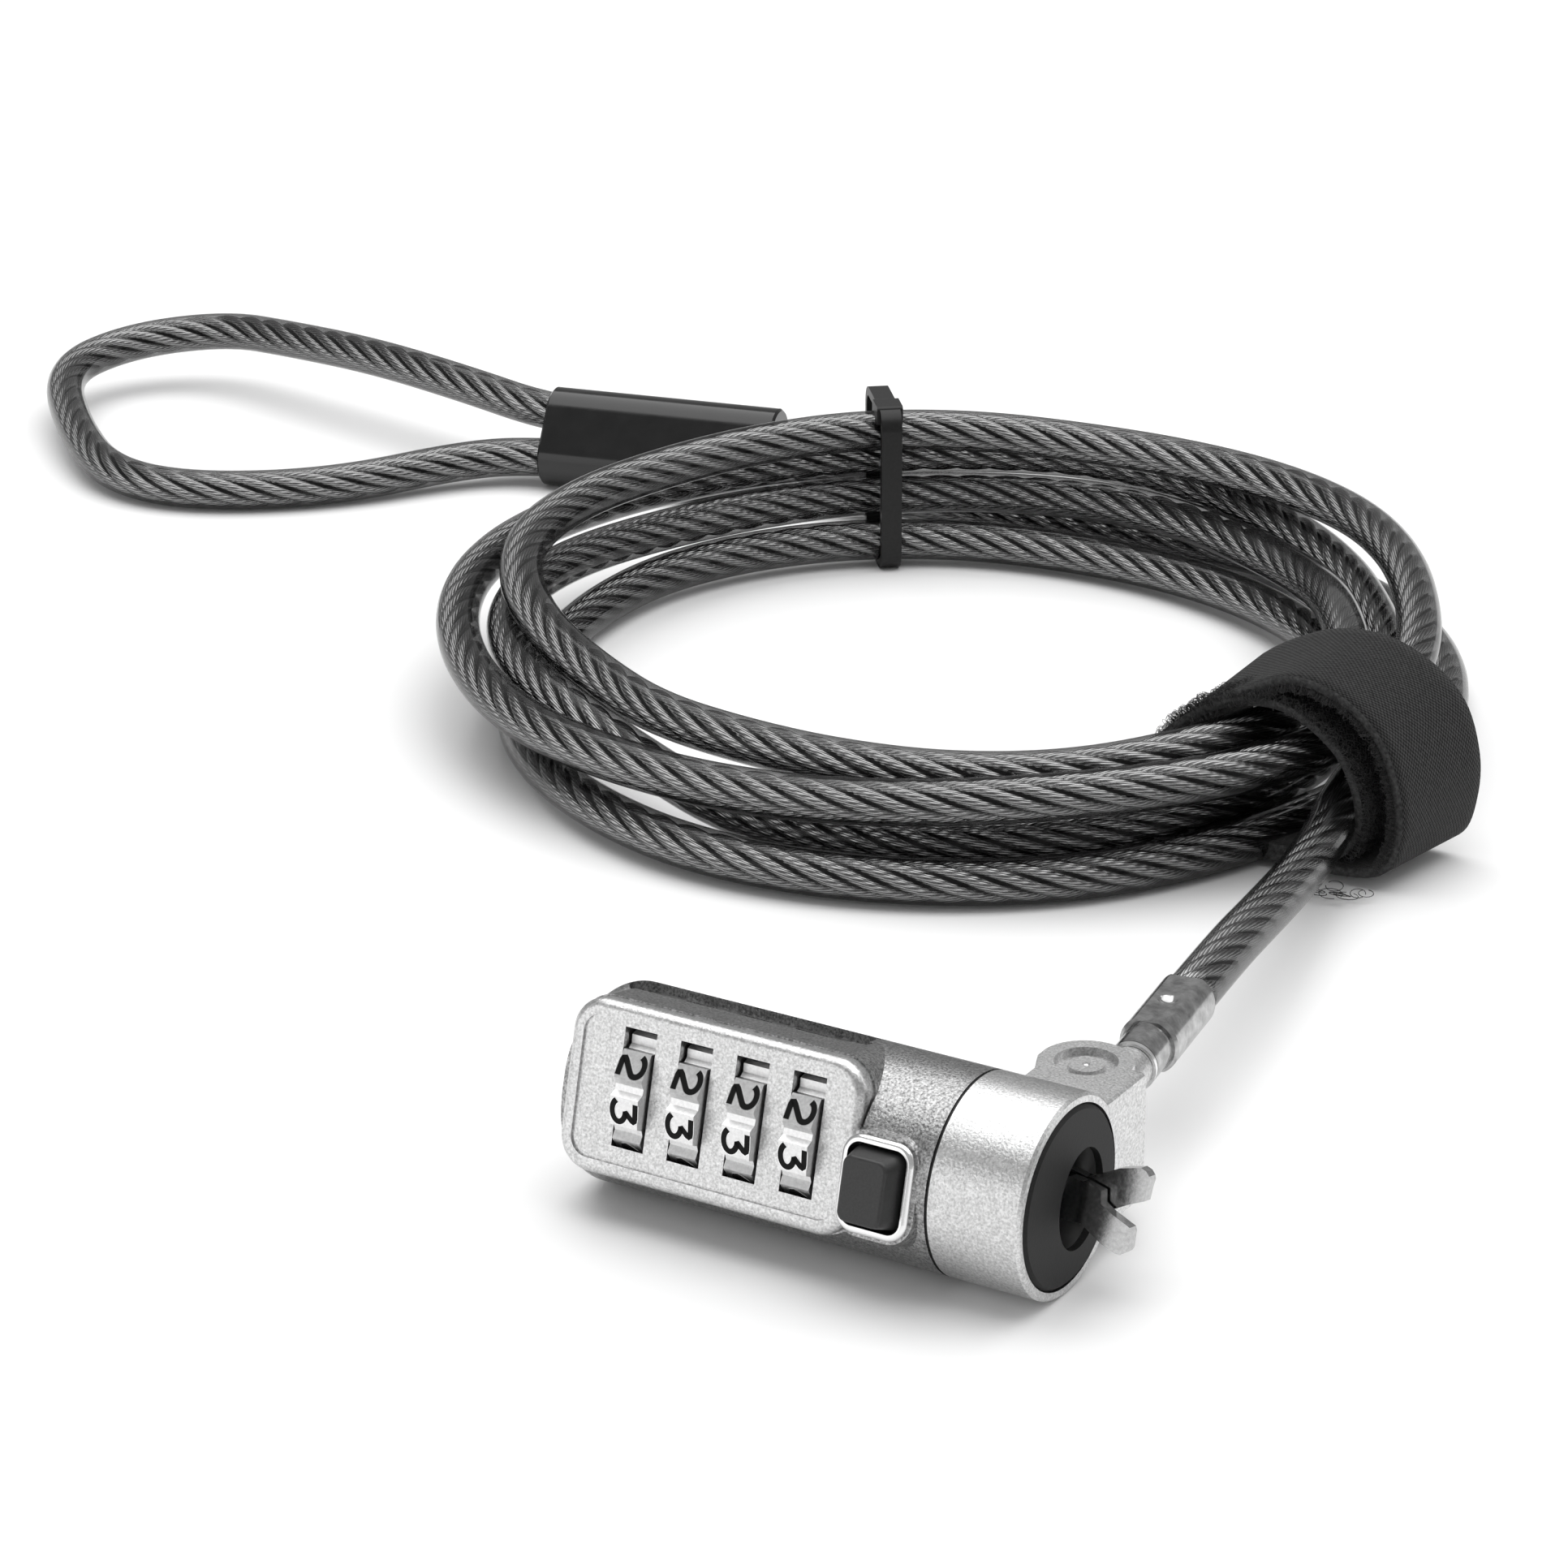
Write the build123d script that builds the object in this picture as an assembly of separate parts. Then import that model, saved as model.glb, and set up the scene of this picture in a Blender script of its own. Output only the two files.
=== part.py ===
from build123d import *
import math
import os

# A combination cable lock for a laptop: a four-dial head whose hooks enter a
# 3 x 7 mm security slot, a swivelling collar with a clevis, and a coiled steel
# cable that ends in an eye loop. Millimetres. The lock axis runs along +X and
# lies AXIS_HEIGHT above the surface that everything rests on (z = 0).
#
# The head's own parts are drawn in the head frame: X along the lock axis with
# x = 0 at the front face, Y (called v) up along the number panel, and Z (called
# u) out of the panel towards the user. HEAD places that frame in the row.

# ---- driving dimensions -------------------------------------------------
AXIS_HEIGHT = 9.3        # lock axis above the surface
HEAD_ROLL = 14.6         # the panel leans back by this angle, in degrees
ORIGIN_X = 21.063        # where the head's x = 0 lies in the row
ORIGIN_Y = -8.711        # where the lock axis lies in the row

BODY_R = 9.3             # barrel and collar radius
BODY_LEFT = -48.2
BODY_RIGHT = -9.35
END_FILLET = 3.0

PANEL_LEFT = -46.9       # number panel, a plate in front of the barrel
PANEL_RIGHT = -16.7
PANEL_BOTTOM = -6.8
PANEL_TOP = 9.1
PANEL_SEAT = 6.9         # u of the plate's back face
PANEL_FACE = 8.85        # u of the plate's rim
PANEL_CORNER = 3.2
PANEL_EDGE = 0.9
FIELD_INSET = 1.4        # the flat inside the rim
FIELD_DEPTH = 0.25
LEDGE = 0.15             # the casting shows this much round the plate

WHEEL_COUNT = 4
WHEEL_PITCH = 5.81
FIRST_WINDOW = -41.35
WINDOW_WIDTH = 3.33
WINDOW_BOTTOM = -3.65
WINDOW_TOP = 7.1
WHEEL_U = 3.25           # the wheels' axle in the head frame
WHEEL_V = 1.0
WHEEL_R = 6.95
WHEEL_ROOT_R = 6.3
WHEEL_WIDTH = 2.9
WHEEL_BORE_R = 3.2
DIGITS = 10
DIGIT_ANGLE = 360 / DIGITS
FACING_DIGIT = -10.4     # angle of the digit in front, from +u towards +v
PAD_HALF = 11.3          # half the angle of a digit's raised pad
ROOT_HALF = 2.6          # half the angle of the valley between two pads
SLOT_R = 7.2             # slot in the casting round each wheel
CLUTCH_R = 3.18
SPINDLE_R = 1.5
SPINDLE_LEFT = -45.5
SPINDLE_RIGHT = -18.0
CORE_R = 4.0             # bore round the spindle
CORE_LEFT = -43.5
CORE_RIGHT = -18.9
SPACER_R = 3.0
RUN_GAP = 0.15           # side gap between a wheel and its spacer
RUNNING_FIT = 0.05       # radial clearance of a shaft in its bore

LEAF_BACK = -5.2         # u of the detent spring's back

CHANNEL_LEFT = -46.0     # recess along the top, over the wheels
CHANNEL_RIGHT = -21.0
CHANNEL_BACK = -2.0
CHANNEL_FRONT = 2.9
CHANNEL_FLOOR = 8.25
CHANNEL_WINDOW_BACK = -1.4
CHANNEL_WINDOW_FRONT = 2.3

BUTTON_X = -14.1
BUTTON_V = -1.0
BUTTON_SIZE = (5.2, 6.8)
BUTTON_CORNER = 0.9
BUTTON_BASE = 9.3
BUTTON_FACE = 12.0
BUTTON_DRAFT = 10
BUTTON_SKIRT = 6.7
BUTTON_FOOT = 5.9
BUTTON_FLANGE = (6.0, 7.6)
BUTTON_POCKET = (6.3, 7.9)
POCKET_FLOOR = 3.5
BEZEL_SIZE = (7.1, 8.8)
BEZEL_HOLE = (5.9, 7.5)
BEZEL_CORNER = 1.9
BEZEL_SEAT = 7.0
BEZEL_FACE = 9.85
BEZEL_PAD = (9.4, 11.1)     # at its base, below the neck's surface
BEZEL_PAD_BASE = 5.4
BEZEL_PAD_FACE = 9.2
BEZEL_PAD_DRAFT = 12

RAMP = 0.4               # the cam moves this far along X per mm of button travel
RAMP_X = -12.9
RAMP_U = 1.0
RAMP_GAP = 0.35
CAM_BOTTOM = -3.1
CAM_TOP = -0.9
CAM_HALF = 1.2
CAM_NOSE_HALF = 0.45
CAM_NOSE = (-7.6, -5.6)

HOOK_U = -2.0            # plane between the two hooks
HOOK_V = -0.4
HOOK_THICKNESS = 1.25
HOOK_GAP = 0.15
HOOK_PIVOT = -3.0
HOOK_PIN_R = 0.7
TUBE_R = 7.42
TUBE_LEFT = -10.4
TUBE_FLANGE_LEFT = -1.8
TUBE_FLANGE_R = 8.2
FACE_RING_R = 8.3
FACE_RING_BACK = -0.7
OPENING_HALF_U = 3.95
OPENING_HALF_V = 4.65

COLLAR_BORE_R = 7.5
COLLAR_LEFT = -9.05
COLLAR_RIGHT = -1.5
FLANGE_RIGHT = -0.2
FLANGE_BORE_R = 8.45
COLLAR_SINK = 2.0        # depth of the collar's front counterbore, to x = -2
TAB_REACH = 14.4
TAB_HALF = 6.2
RIVET = (-5.8, 13.4)     # vertical rivet, from the lock axis
RIVET_R = 1.45
RIVET_HEAD_R = 1.65
LUG_R = 4.3
LUG_GAP = 2.7            # half the slot between the ears
LUG_ROOT = 9.45
LUG_SINK_R = 2.9
LUG_SINK = 0.7

LINK_ANGLE = 8.5         # the link leans from +Y towards -X
EYE_R = 3.6
EYE_HALF = 2.5
SHANK_R = 2.1
SHANK_END = 12.6
WASHER = (12.65, 13.15)
STEM_R = 1.2
STEM_HEAD_R = 1.7
STEM_HEAD = (15.5, 16.5)
FERRULE_START = 13.25
FERRULE_STEP = 17.5
FERRULE_END = 28.5
FERRULE_NECK_R = 2.4
FERRULE_R = 2.9
FERRULE_FLAT = 2.45
FERRULE_CAVITY = (15.2, 17.0)

CABLE_D = 5.0
COIL_CENTRE = (-76.0, 116.0)
COIL_STEP = 12           # degrees between the coil's sections
COIL_BEVEL = 4.0
# Outline of the bound coil: angle, inner and outer radius, bottom, top.
COIL_SECTIONS = [
    (-27, 42.5, 53.5, 1.9, 19.5),
    (-7, 42.5, 53.5, 1.9, 19.5),
    (30, 43.5, 57.0, 0.0, 19.5),
    (65, 44.5, 62.5, 0.0, 19.5),
    (100, 49.0, 62.0, 0.3, 19.0),
    (128, 50.7, 61.0, 1.2, 20.9),
    (160, 48.0, 64.0, 0.0, 19.3),
    (195, 43.5, 64.5, 0.0, 18.3),
    (235, 43.7, 61.0, 0.0, 15.5),
    (270, 44.5, 60.0, 0.0, 15.0),
    (310, 45.0, 54.0, 0.0, 19.7),
    (333, 42.5, 53.5, 1.9, 19.5),
]
# Cable routes, from the head's own axis frame: x, y, height.
LEAD_ROUTE = [
    (-11.9, 54.0, 9.2),
    (-13.9, 67.0, 8.2),
    (-16.3, 80.0, 6.9),
    (-18.9, 92.0, 6.5),
    (-20.9, 101.0, 6.9),
    (-18.9, 115.5, 5.6),
    (-21.8, 131.0, 4.0),
    (-28.5, 142.0, 3.0),
]
TAIL_ROUTE = [
    (-61.2, 175.2, 4.9),
    (-85.0, 178.6, 4.3),
    (-103.0, 175.6, 3.9),
    (-119.0, 172.0, 3.7),
]
LOOP_ROUTE = [
    (-172.0, 156.5, 3.4),
    (-181.5, 140.0, 2.6),
    (-196.0, 129.0, 2.6),
    (-209.0, 128.6, 2.8),
    (-222.0, 137.5, 4.0),
    (-237.7, 153.4, 5.5),
    (-236.7, 167.0, 6.6),
    (-226.1, 175.8, 7.8),
    (-212.5, 173.0, 9.0),
    (-197.0, 170.2, 9.8),
    (-180.0, 166.6, 9.7),
]
SLEEVE_LEFT = (-163.8, 163.3, 6.0)
SLEEVE_LENGTH = 31.0
SLEEVE_TURN = 12.7       # its axis from +X
SLEEVE_LEAN = 35.0       # its long side from upright
SLEEVE_PITCH = 5.5       # distance between its two side radii
SLEEVE_R = 3.75
STRAND_OFFSET = 2.81     # each strand from the sleeve's axis
TIE_ANGLE = 129.2
TIE_WIDTH = 2.5
TIE_INNER = (50.6, 61.8, 1.1, 19.5)
TIE_THICKNESS = 1.1
STRAP_FRONT = 94.5
STRAP_WIDTH = 14.0
STRAP_OUTER = [
    (-41.6, 0.0), (-12.6, 0.0), (-10.0, 2.5), (-9.3, 6.5), (-10.2, 12.0),
    (-13.6, 17.0), (-19.5, 21.0), (-27.0, 22.4), (-36.2, 21.6), (-41.6, 16.4),
]
STRAP_INNER = [
    (-39.9, 1.7), (-19.5, 1.7), (-16.3, 3.6), (-15.4, 8.0), (-17.2, 13.6),
    (-22.3, 17.6), (-26.0, 19.8), (-35.4, 19.8), (-39.9, 15.6),
]

# ---- frames ---------------------------------------------------------------
LEVEL = Pos(ORIGIN_X, ORIGIN_Y, AXIS_HEIGHT)
HEAD = LEVEL * Rot(90 - HEAD_ROLL, 0, 0)
GROUND = Pos(ORIGIN_X, ORIGIN_Y, 0)
LINK = LEVEL * Pos(RIVET[0], RIVET[1], 0) * Rot(0, 0, 90 + LINK_ANGLE)

PARTS = {}


# ---- small helpers --------------------------------------------------------
def rod(radius, x0, x1, v=0.0, u=0.0):
    """A cylinder along X."""
    return Pos((x0 + x1) / 2, v, u) * Rot(0, 90, 0) * Cylinder(radius, x1 - x0)


def ring(outer, inner, x0, x1, v=0.0, u=0.0):
    """A tube along X."""
    return rod(outer, x0, x1, v, u) - rod(inner, x0 - 1, x1 + 1, v, u)


def block(x0, x1, v0, v1, u0, u1):
    """A box between two corners."""
    return Pos((x0 + x1) / 2, (v0 + v1) / 2, (u0 + u1) / 2) * Box(x1 - x0, v1 - v0, u1 - u0)


def pad(x0, x1, v0, v1, u0, u1, corner, draft=0):
    """A rounded rectangle in X and v that stands from u0 to u1, smaller at the top by a draft."""
    middle_x = (x0 + x1) / 2
    middle_v = (v0 + v1) / 2
    base = Pos(middle_x, middle_v, u0) * RectangleRounded(x1 - x0, v1 - v0, corner)
    if draft == 0:
        return extrude(base, u1 - u0)
    inset = 2 * (u1 - u0) * math.tan(math.radians(draft))
    top = Pos(middle_x, middle_v, u1) * RectangleRounded(x1 - x0 - inset, v1 - v0 - inset, corner)
    return loft([base, top])


def button_pad(size, u0, u1, corner, draft=0):
    """A pad centred on the button."""
    half_x = size[0] / 2
    half_v = size[1] / 2
    return pad(BUTTON_X - half_x, BUTTON_X + half_x, BUTTON_V - half_v, BUTTON_V + half_v,
               u0, u1, corner, draft)


def profile(points, u0, u1):
    """A polygon in X and v that stands from u0 to u1."""
    return extrude(Pos(0, 0, u0) * Polygon(*points, align=None), u1 - u0, dir=(0, 0, 1))


def side_profile(points, half):
    """A polygon in X and u, as thick as 2 * half along v."""
    return extrude(Plane.XZ * Polygon(*points, align=None), half, both=True)


def wheel_span(index):
    """Left and right side of a wheel."""
    middle = FIRST_WINDOW + WINDOW_WIDTH / 2 + index * WHEEL_PITCH
    return middle - WHEEL_WIDTH / 2, middle + WHEEL_WIDTH / 2


def window_span(index):
    """Left and right side of the window over a wheel."""
    left = FIRST_WINDOW + index * WHEEL_PITCH
    return left, left + WINDOW_WIDTH


def wheel_slot(index):
    """The round slot that a wheel turns in."""
    x0, x1 = window_span(index)
    return rod(SLOT_R, x0, x1, WHEEL_V, WHEEL_U)


def opening(x0, x1):
    """The oval way through the nose, along X."""
    oval = Rot(0, 90, 0) * Ellipse(OPENING_HALF_U, OPENING_HALF_V)
    return extrude(Pos(x0, HOOK_V, HOOK_U) * oval, x1 - x0)


def keep(name, shape, frame):
    """Place a part in the row and keep it under its node name."""
    PARTS[name] = frame * shape


# ---- lock body --------------------------------------------------------------
def body_casting():
    """Barrel with the plateau behind the number panel."""
    body = rod(BODY_R, BODY_LEFT, BODY_RIGHT)
    body = fillet(body.edges().group_by(Axis.X)[0], END_FILLET)
    body -= block(BODY_LEFT - 1, PANEL_RIGHT + LEDGE, -10, 10, PANEL_SEAT, 10)
    body += pad(PANEL_LEFT - LEDGE, PANEL_RIGHT + LEDGE, PANEL_BOTTOM - LEDGE, PANEL_TOP + LEDGE,
                0, PANEL_SEAT, PANEL_CORNER + LEDGE)
    bezel_pad = button_pad(BEZEL_PAD, BEZEL_PAD_BASE, BEZEL_PAD_FACE, BEZEL_CORNER + 0.6, BEZEL_PAD_DRAFT)
    body += bezel_pad & block(PANEL_RIGHT + LEDGE, BODY_RIGHT, -10, 10, 0, 12)
    body -= casting_cavities()
    return body


def casting_cavities():
    """Everything that is cut out of the casting, the top channel included."""
    cuts = rod(CORE_R, CORE_LEFT, CORE_RIGHT, WHEEL_V, WHEEL_U)
    cuts += rod(SPINDLE_R, SPINDLE_LEFT, SPINDLE_RIGHT, WHEEL_V, WHEEL_U)
    middle_u = (CHANNEL_BACK + CHANNEL_FRONT) / 2
    depth = CHANNEL_FRONT - CHANNEL_BACK
    channel = Rot(-90, 0, 0) * extrude(
        Pos((CHANNEL_LEFT + CHANNEL_RIGHT) / 2, -middle_u, CHANNEL_FLOOR)
        * RectangleRounded(CHANNEL_RIGHT - CHANNEL_LEFT, depth, depth / 2 - 0.01), 3)
    cuts += channel
    for index in range(WHEEL_COUNT):
        x0, x1 = window_span(index)
        cuts += wheel_slot(index)
        cuts += block(x0, x1, WHEEL_V + 3, CHANNEL_FLOOR + 1, CHANNEL_WINDOW_BACK, CHANNEL_WINDOW_FRONT)
    cuts += button_pad(BUTTON_POCKET, POCKET_FLOOR, BEZEL_SEAT + 0.01, BUTTON_CORNER)
    cuts += button_pad(BEZEL_SIZE, BEZEL_SEAT, BEZEL_FACE + 2, BEZEL_CORNER)
    cuts += block(-14.3, TUBE_LEFT - 0.05, -1.6, 1.6, -3.5, POCKET_FLOOR + 0.01)
    cuts += rod(TUBE_R, TUBE_LEFT - 0.05, BODY_RIGHT + 1)
    cuts += block(-42.5, -19.5, WHEEL_V - 2.2, WHEEL_V + 2.2, -5.3, -3.6)
    cuts += rod(1.65, BODY_LEFT - 1, -45.5, -4.0, -3.0)
    return cuts


def number_panel():
    """The plate with the four dial windows."""
    plate = pad(PANEL_LEFT, PANEL_RIGHT, PANEL_BOTTOM, PANEL_TOP, PANEL_SEAT, PANEL_FACE, PANEL_CORNER)
    plate = fillet(plate.faces().sort_by(Axis.Z)[-1].edges(), PANEL_EDGE)
    plate -= pad(PANEL_LEFT + FIELD_INSET, PANEL_RIGHT - FIELD_INSET, PANEL_BOTTOM + FIELD_INSET,
                 PANEL_TOP - FIELD_INSET, PANEL_FACE - FIELD_DEPTH, PANEL_FACE + 1,
                 PANEL_CORNER - FIELD_INSET)
    for index in range(WHEEL_COUNT):
        x0, x1 = window_span(index)
        plate -= block(x0, x1, WINDOW_BOTTOM, WINDOW_TOP, PANEL_SEAT - 1, PANEL_FACE + 1)
        plate -= wheel_slot(index)
    plate -= button_pad(BEZEL_SIZE, PANEL_SEAT - 1, PANEL_FACE + 2, BEZEL_CORNER)
    return plate


def number_wheel(index):
    """A dial with ten raised pads and a bore for its clutch sleeve."""
    points = []
    for digit in range(DIGITS):
        middle = FACING_DIGIT + digit * DIGIT_ANGLE
        valley = middle + DIGIT_ANGLE / 2
        for radius, angle in (
            (WHEEL_R, middle - PAD_HALF),
            (WHEEL_R, middle + PAD_HALF),
            (WHEEL_ROOT_R, valley - ROOT_HALF),
            (WHEEL_ROOT_R, valley + ROOT_HALF),
        ):
            turn = math.radians(angle)
            points.append((radius * math.sin(turn), radius * math.cos(turn)))
    outline = Polygon(*points, align=None) - Circle(WHEEL_BORE_R)
    x0, x1 = wheel_span(index)
    # The sketch's first axis becomes v and its second becomes u.
    across = Plane(origin=(x0, WHEEL_V, WHEEL_U), x_dir=(0, 1, 0), z_dir=(1, 0, 0))
    return extrude(across * outline, x1 - x0, dir=(1, 0, 0))


def clutch_sleeve(index):
    """The sleeve inside a dial, with the gate that the code lines up."""
    x0, x1 = wheel_span(index)
    sleeve = ring(CLUTCH_R, SPINDLE_R + RUNNING_FIT, x0, x1, WHEEL_V, WHEEL_U)
    gate = block(x0 - 1, x1 + 1, WHEEL_V - 0.5, WHEEL_V + 0.5, WHEEL_U - 4, WHEEL_U - 2.3)
    return sleeve - gate


def wheel_spacers():
    """Five washers on the spindle, each between two dials or a dial and a wall."""
    edges = [CORE_LEFT]
    for index in range(WHEEL_COUNT):
        edges.extend(wheel_span(index))
    edges.append(CORE_RIGHT)
    washers = []
    for left, right in zip(edges[0::2], edges[1::2]):
        washers.append(ring(SPACER_R, SPINDLE_R, left + RUN_GAP, right - RUN_GAP, WHEEL_V, WHEEL_U))
    return Compound(children=washers)


def detent_spring():
    """A leaf with one bump behind each dial."""
    leaf = block(-42.2, -19.8, WHEEL_V - 2, WHEEL_V + 2, LEAF_BACK, LEAF_BACK + 0.25)
    for index in range(WHEEL_COUNT):
        x0, x1 = wheel_span(index)
        bump = rod(0.8, x0 + 0.3, x1 - 0.3, WHEEL_V, LEAF_BACK)
        leaf += bump & block(x0, x1, WHEEL_V - 1, WHEEL_V + 1, LEAF_BACK, LEAF_BACK + 1)
    return leaf


def reset_screw():
    """The slotted screw in the end cap that opens the code for a change."""
    screw = rod(1.6, -48.1, -45.6, -4.0, -3.0)
    return screw - block(-49, -47.4, -6, -2, -3.25, -2.75)


def button_bezel():
    """The polished lip round the button."""
    lip = button_pad(BEZEL_SIZE, BEZEL_SEAT, BEZEL_FACE, BEZEL_CORNER)
    lip = fillet(lip.faces().sort_by(Axis.Z)[-1].edges(), 0.45)
    return lip - button_pad(BEZEL_HOLE, BEZEL_SEAT - 1, BEZEL_FACE + 1, 1.2)


def push_button():
    """The button, its retaining flange and the leg that drives the cam."""
    button = button_pad(BUTTON_SIZE, BUTTON_SKIRT, BUTTON_BASE, BUTTON_CORNER)
    button += button_pad(BUTTON_SIZE, BUTTON_BASE, BUTTON_FACE, BUTTON_CORNER, BUTTON_DRAFT)
    button = fillet(button.faces().sort_by(Axis.Z)[-1].edges(), 0.3)
    button += button_pad(BUTTON_FLANGE, BUTTON_FOOT, BUTTON_SKIRT, BUTTON_CORNER)
    leg_top = BUTTON_FOOT + 0.1
    leg = [
        (RAMP_X - 0.9, leg_top),
        (RAMP_X - 0.9, RAMP_U),
        (RAMP_X, RAMP_U),
        (RAMP_X + RAMP * 2, RAMP_U + 2),
        (RAMP_X + RAMP * 2, leg_top),
    ]
    button += side_profile(leg, CAM_HALF)
    return button - Pos(BUTTON_X, BUTTON_V - 1.9, BUTTON_FOOT + 2.3) * Cylinder(1.15, 5)


def button_spring():
    """A short coil spring under the button."""
    turns = 5
    per_turn = 8
    radius = 0.8
    wire = 0.15
    height = 3.0
    points = []
    for step in range(turns * per_turn + 1):
        turn = math.radians(360 / per_turn * step)
        rise = POCKET_FLOOR + 0.2 + height * step / (turns * per_turn)
        points.append((BUTTON_X + radius * math.cos(turn), BUTTON_V - 1.9 + radius * math.sin(turn), rise))
    path = FilletPolyline(*points, radius=0.6)
    return sweep(Plane(origin=path @ 0, z_dir=path % 0) * Circle(wire), path=path)


def cam_slide():
    """The bar that the button pushes forward between the hooks' tails."""
    low = RAMP_U - 2
    high = RAMP_U + 1.2
    bar = [
        (RAMP_X + RAMP_GAP + RAMP * (low - RAMP_U), low),
        (RAMP_X + RAMP_GAP + RAMP * (high - RAMP_U), high),
        (-11.6, high),
        (-11.6, CAM_TOP),
        (CAM_NOSE[1], CAM_TOP),
        (CAM_NOSE[1], CAM_BOTTOM),
        (RAMP_X + RAMP_GAP + RAMP * (low - RAMP_U), CAM_BOTTOM),
    ]
    cam = side_profile(bar, CAM_HALF)
    for side in (-1, 1):
        cheek = sorted((side * CAM_NOSE_HALF, side * (CAM_HALF + 1)))
        cam -= block(CAM_NOSE[0], CAM_NOSE[1] + 1, cheek[0], cheek[1], CAM_BOTTOM - 1, CAM_TOP + 1)
    return cam


def nose_tube():
    """The tube that joins the barrel to the nose and carries the collar."""
    tube = rod(TUBE_R, TUBE_LEFT, TUBE_FLANGE_LEFT)
    tube += rod(TUBE_FLANGE_R, TUBE_FLANGE_LEFT, FACE_RING_BACK)
    tube -= opening(TUBE_LEFT - 1, 1)
    return tube - hook_axle(HOOK_PIN_R, 6.0)


def hook_axle(radius, reach):
    """A cylinder along u on the hooks' pivot."""
    return Pos(HOOK_PIVOT, 0, HOOK_U) * Cylinder(radius, 2 * reach)


def face_ring():
    """The rubber ring that presses on the computer's side."""
    face = rod(FACE_RING_R, FACE_RING_BACK, 0)
    face = chamfer(face.edges().group_by(Axis.X)[-1], 0.35)
    return face - opening(FACE_RING_BACK - 1, 1)


HOOK_LOWER = [
    (-6.2, -0.85), (-6.2, -2.2), (-2.4, -2.15), (0.9, -2.15), (3.0, -3.4), (4.5, -3.95),
    (5.0, -3.95), (5.7, -3.45), (5.7, -1.55), (5.55, -1.4), (3.4, -0.5), (2.55, 0.0),
    (2.4, 1.1), (0.6, 1.55), (-0.7, 1.7), (-3.0, 1.45), (-4.4, 0.9), (-4.4, -0.85),
]
HOOK_UPPER = [
    (-6.2, 0.85), (-4.4, 0.85), (-4.4, -0.9), (-3.0, -1.45), (-1.0, -1.7), (1.0, -1.6),
    (2.89, -0.87), (2.96, -0.67), (4.44, 0.15), (5.84, 0.77), (5.95, 2.0), (6.11, 2.86),
    (5.63, 3.39), (5.1, 3.59), (3.08, 3.06), (2.25, 2.58), (0.18, 1.62), (-2.4, 2.15),
    (-6.2, 2.2),
]


def hook(points, u0):
    """A flat hook with its pivot hole."""
    plate = profile(points, u0, u0 + HOOK_THICKNESS)
    plate = chamfer(plate.edges().filter_by(Axis.Z).sort_by(Axis.X)[-2:], 0.2)
    return plate - hook_axle(HOOK_PIN_R + RUNNING_FIT, 6.0)


# ---- collar and swivel link -------------------------------------------------
def lug_outline():
    """Plan of the clevis: the collar's width that runs out into a round end."""
    x, y = RIVET
    outline = Pos(x, y) * Circle(LUG_R)
    flank = [(COLLAR_LEFT, 0), (COLLAR_RIGHT, 0), (COLLAR_RIGHT, y), (x, y), (x - LUG_R, y),
             (x - LUG_R + 0.05, y - 1.2), (COLLAR_LEFT, 9.8)]
    return outline + Polygon(*flank, align=None)


def collar_ring():
    """The turning collar with its clevis ears."""
    collar = rod(BODY_R, COLLAR_LEFT, COLLAR_RIGHT)
    collar += Pos(0, 0, -TAB_HALF) * extrude(lug_outline(), 2 * TAB_HALF)
    x, y = RIVET
    collar -= block(x - 10, x + 10, LUG_ROOT, y + 10, -LUG_GAP, LUG_GAP)
    collar -= rod(COLLAR_BORE_R, COLLAR_LEFT - 1, COLLAR_RIGHT + 1)
    collar -= rod(FLANGE_BORE_R, -COLLAR_SINK, COLLAR_RIGHT + 1)
    collar -= Pos(x, y, 0) * Cylinder(RIVET_R, 30)
    for side in (-1, 1):
        collar -= Pos(x, y, side * TAB_HALF) * Cylinder(LUG_SINK_R, 2 * LUG_SINK)
    return collar


def front_flange():
    """The rim with its tab that closes the collar's front."""
    plate = rod(BODY_R, COLLAR_RIGHT, FLANGE_RIGHT)
    tab = block(COLLAR_RIGHT, FLANGE_RIGHT, 0, TAB_REACH, -TAB_HALF, TAB_HALF)
    tab = fillet(tab.edges().filter_by(Axis.X).group_by(Axis.Y)[-1], 0.8)
    plate += tab
    plate = chamfer(plate.faces().sort_by(Axis.X)[-1].edges(), 0.25)
    return plate - rod(FLANGE_BORE_R, COLLAR_RIGHT - 1, FLANGE_RIGHT + 1)


def rivet_pin():
    """The vertical rivet with a dimpled head at each end."""
    inner = TAB_HALF - LUG_SINK
    pin = Cylinder(RIVET_R, 2 * inner)
    for side in (-1, 1):
        pin += Pos(0, 0, side * (inner + 0.2)) * Cylinder(RIVET_HEAD_R, 0.4)
        pin -= Pos(0, 0, side * (inner + 0.55)) * Sphere(0.4)
    return Pos(RIVET[0], RIVET[1], 0) * pin


def swivel_eye():
    """Eye on the rivet, shank, and the headed stem that the ferrule turns on."""
    eye = Cylinder(EYE_R, 2 * EYE_HALF)
    eye += rod(SHANK_R, 1, SHANK_END)
    eye += rod(STEM_R, SHANK_END, STEM_HEAD[1])
    eye += rod(STEM_HEAD_R, STEM_HEAD[0], STEM_HEAD[1])
    return eye - Cylinder(RIVET_R + RUNNING_FIT, 20)


def swivel_washer():
    """A bright washer between the shank and the ferrule."""
    return ring(FERRULE_NECK_R, STEM_R, WASHER[0], WASHER[1])


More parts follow.
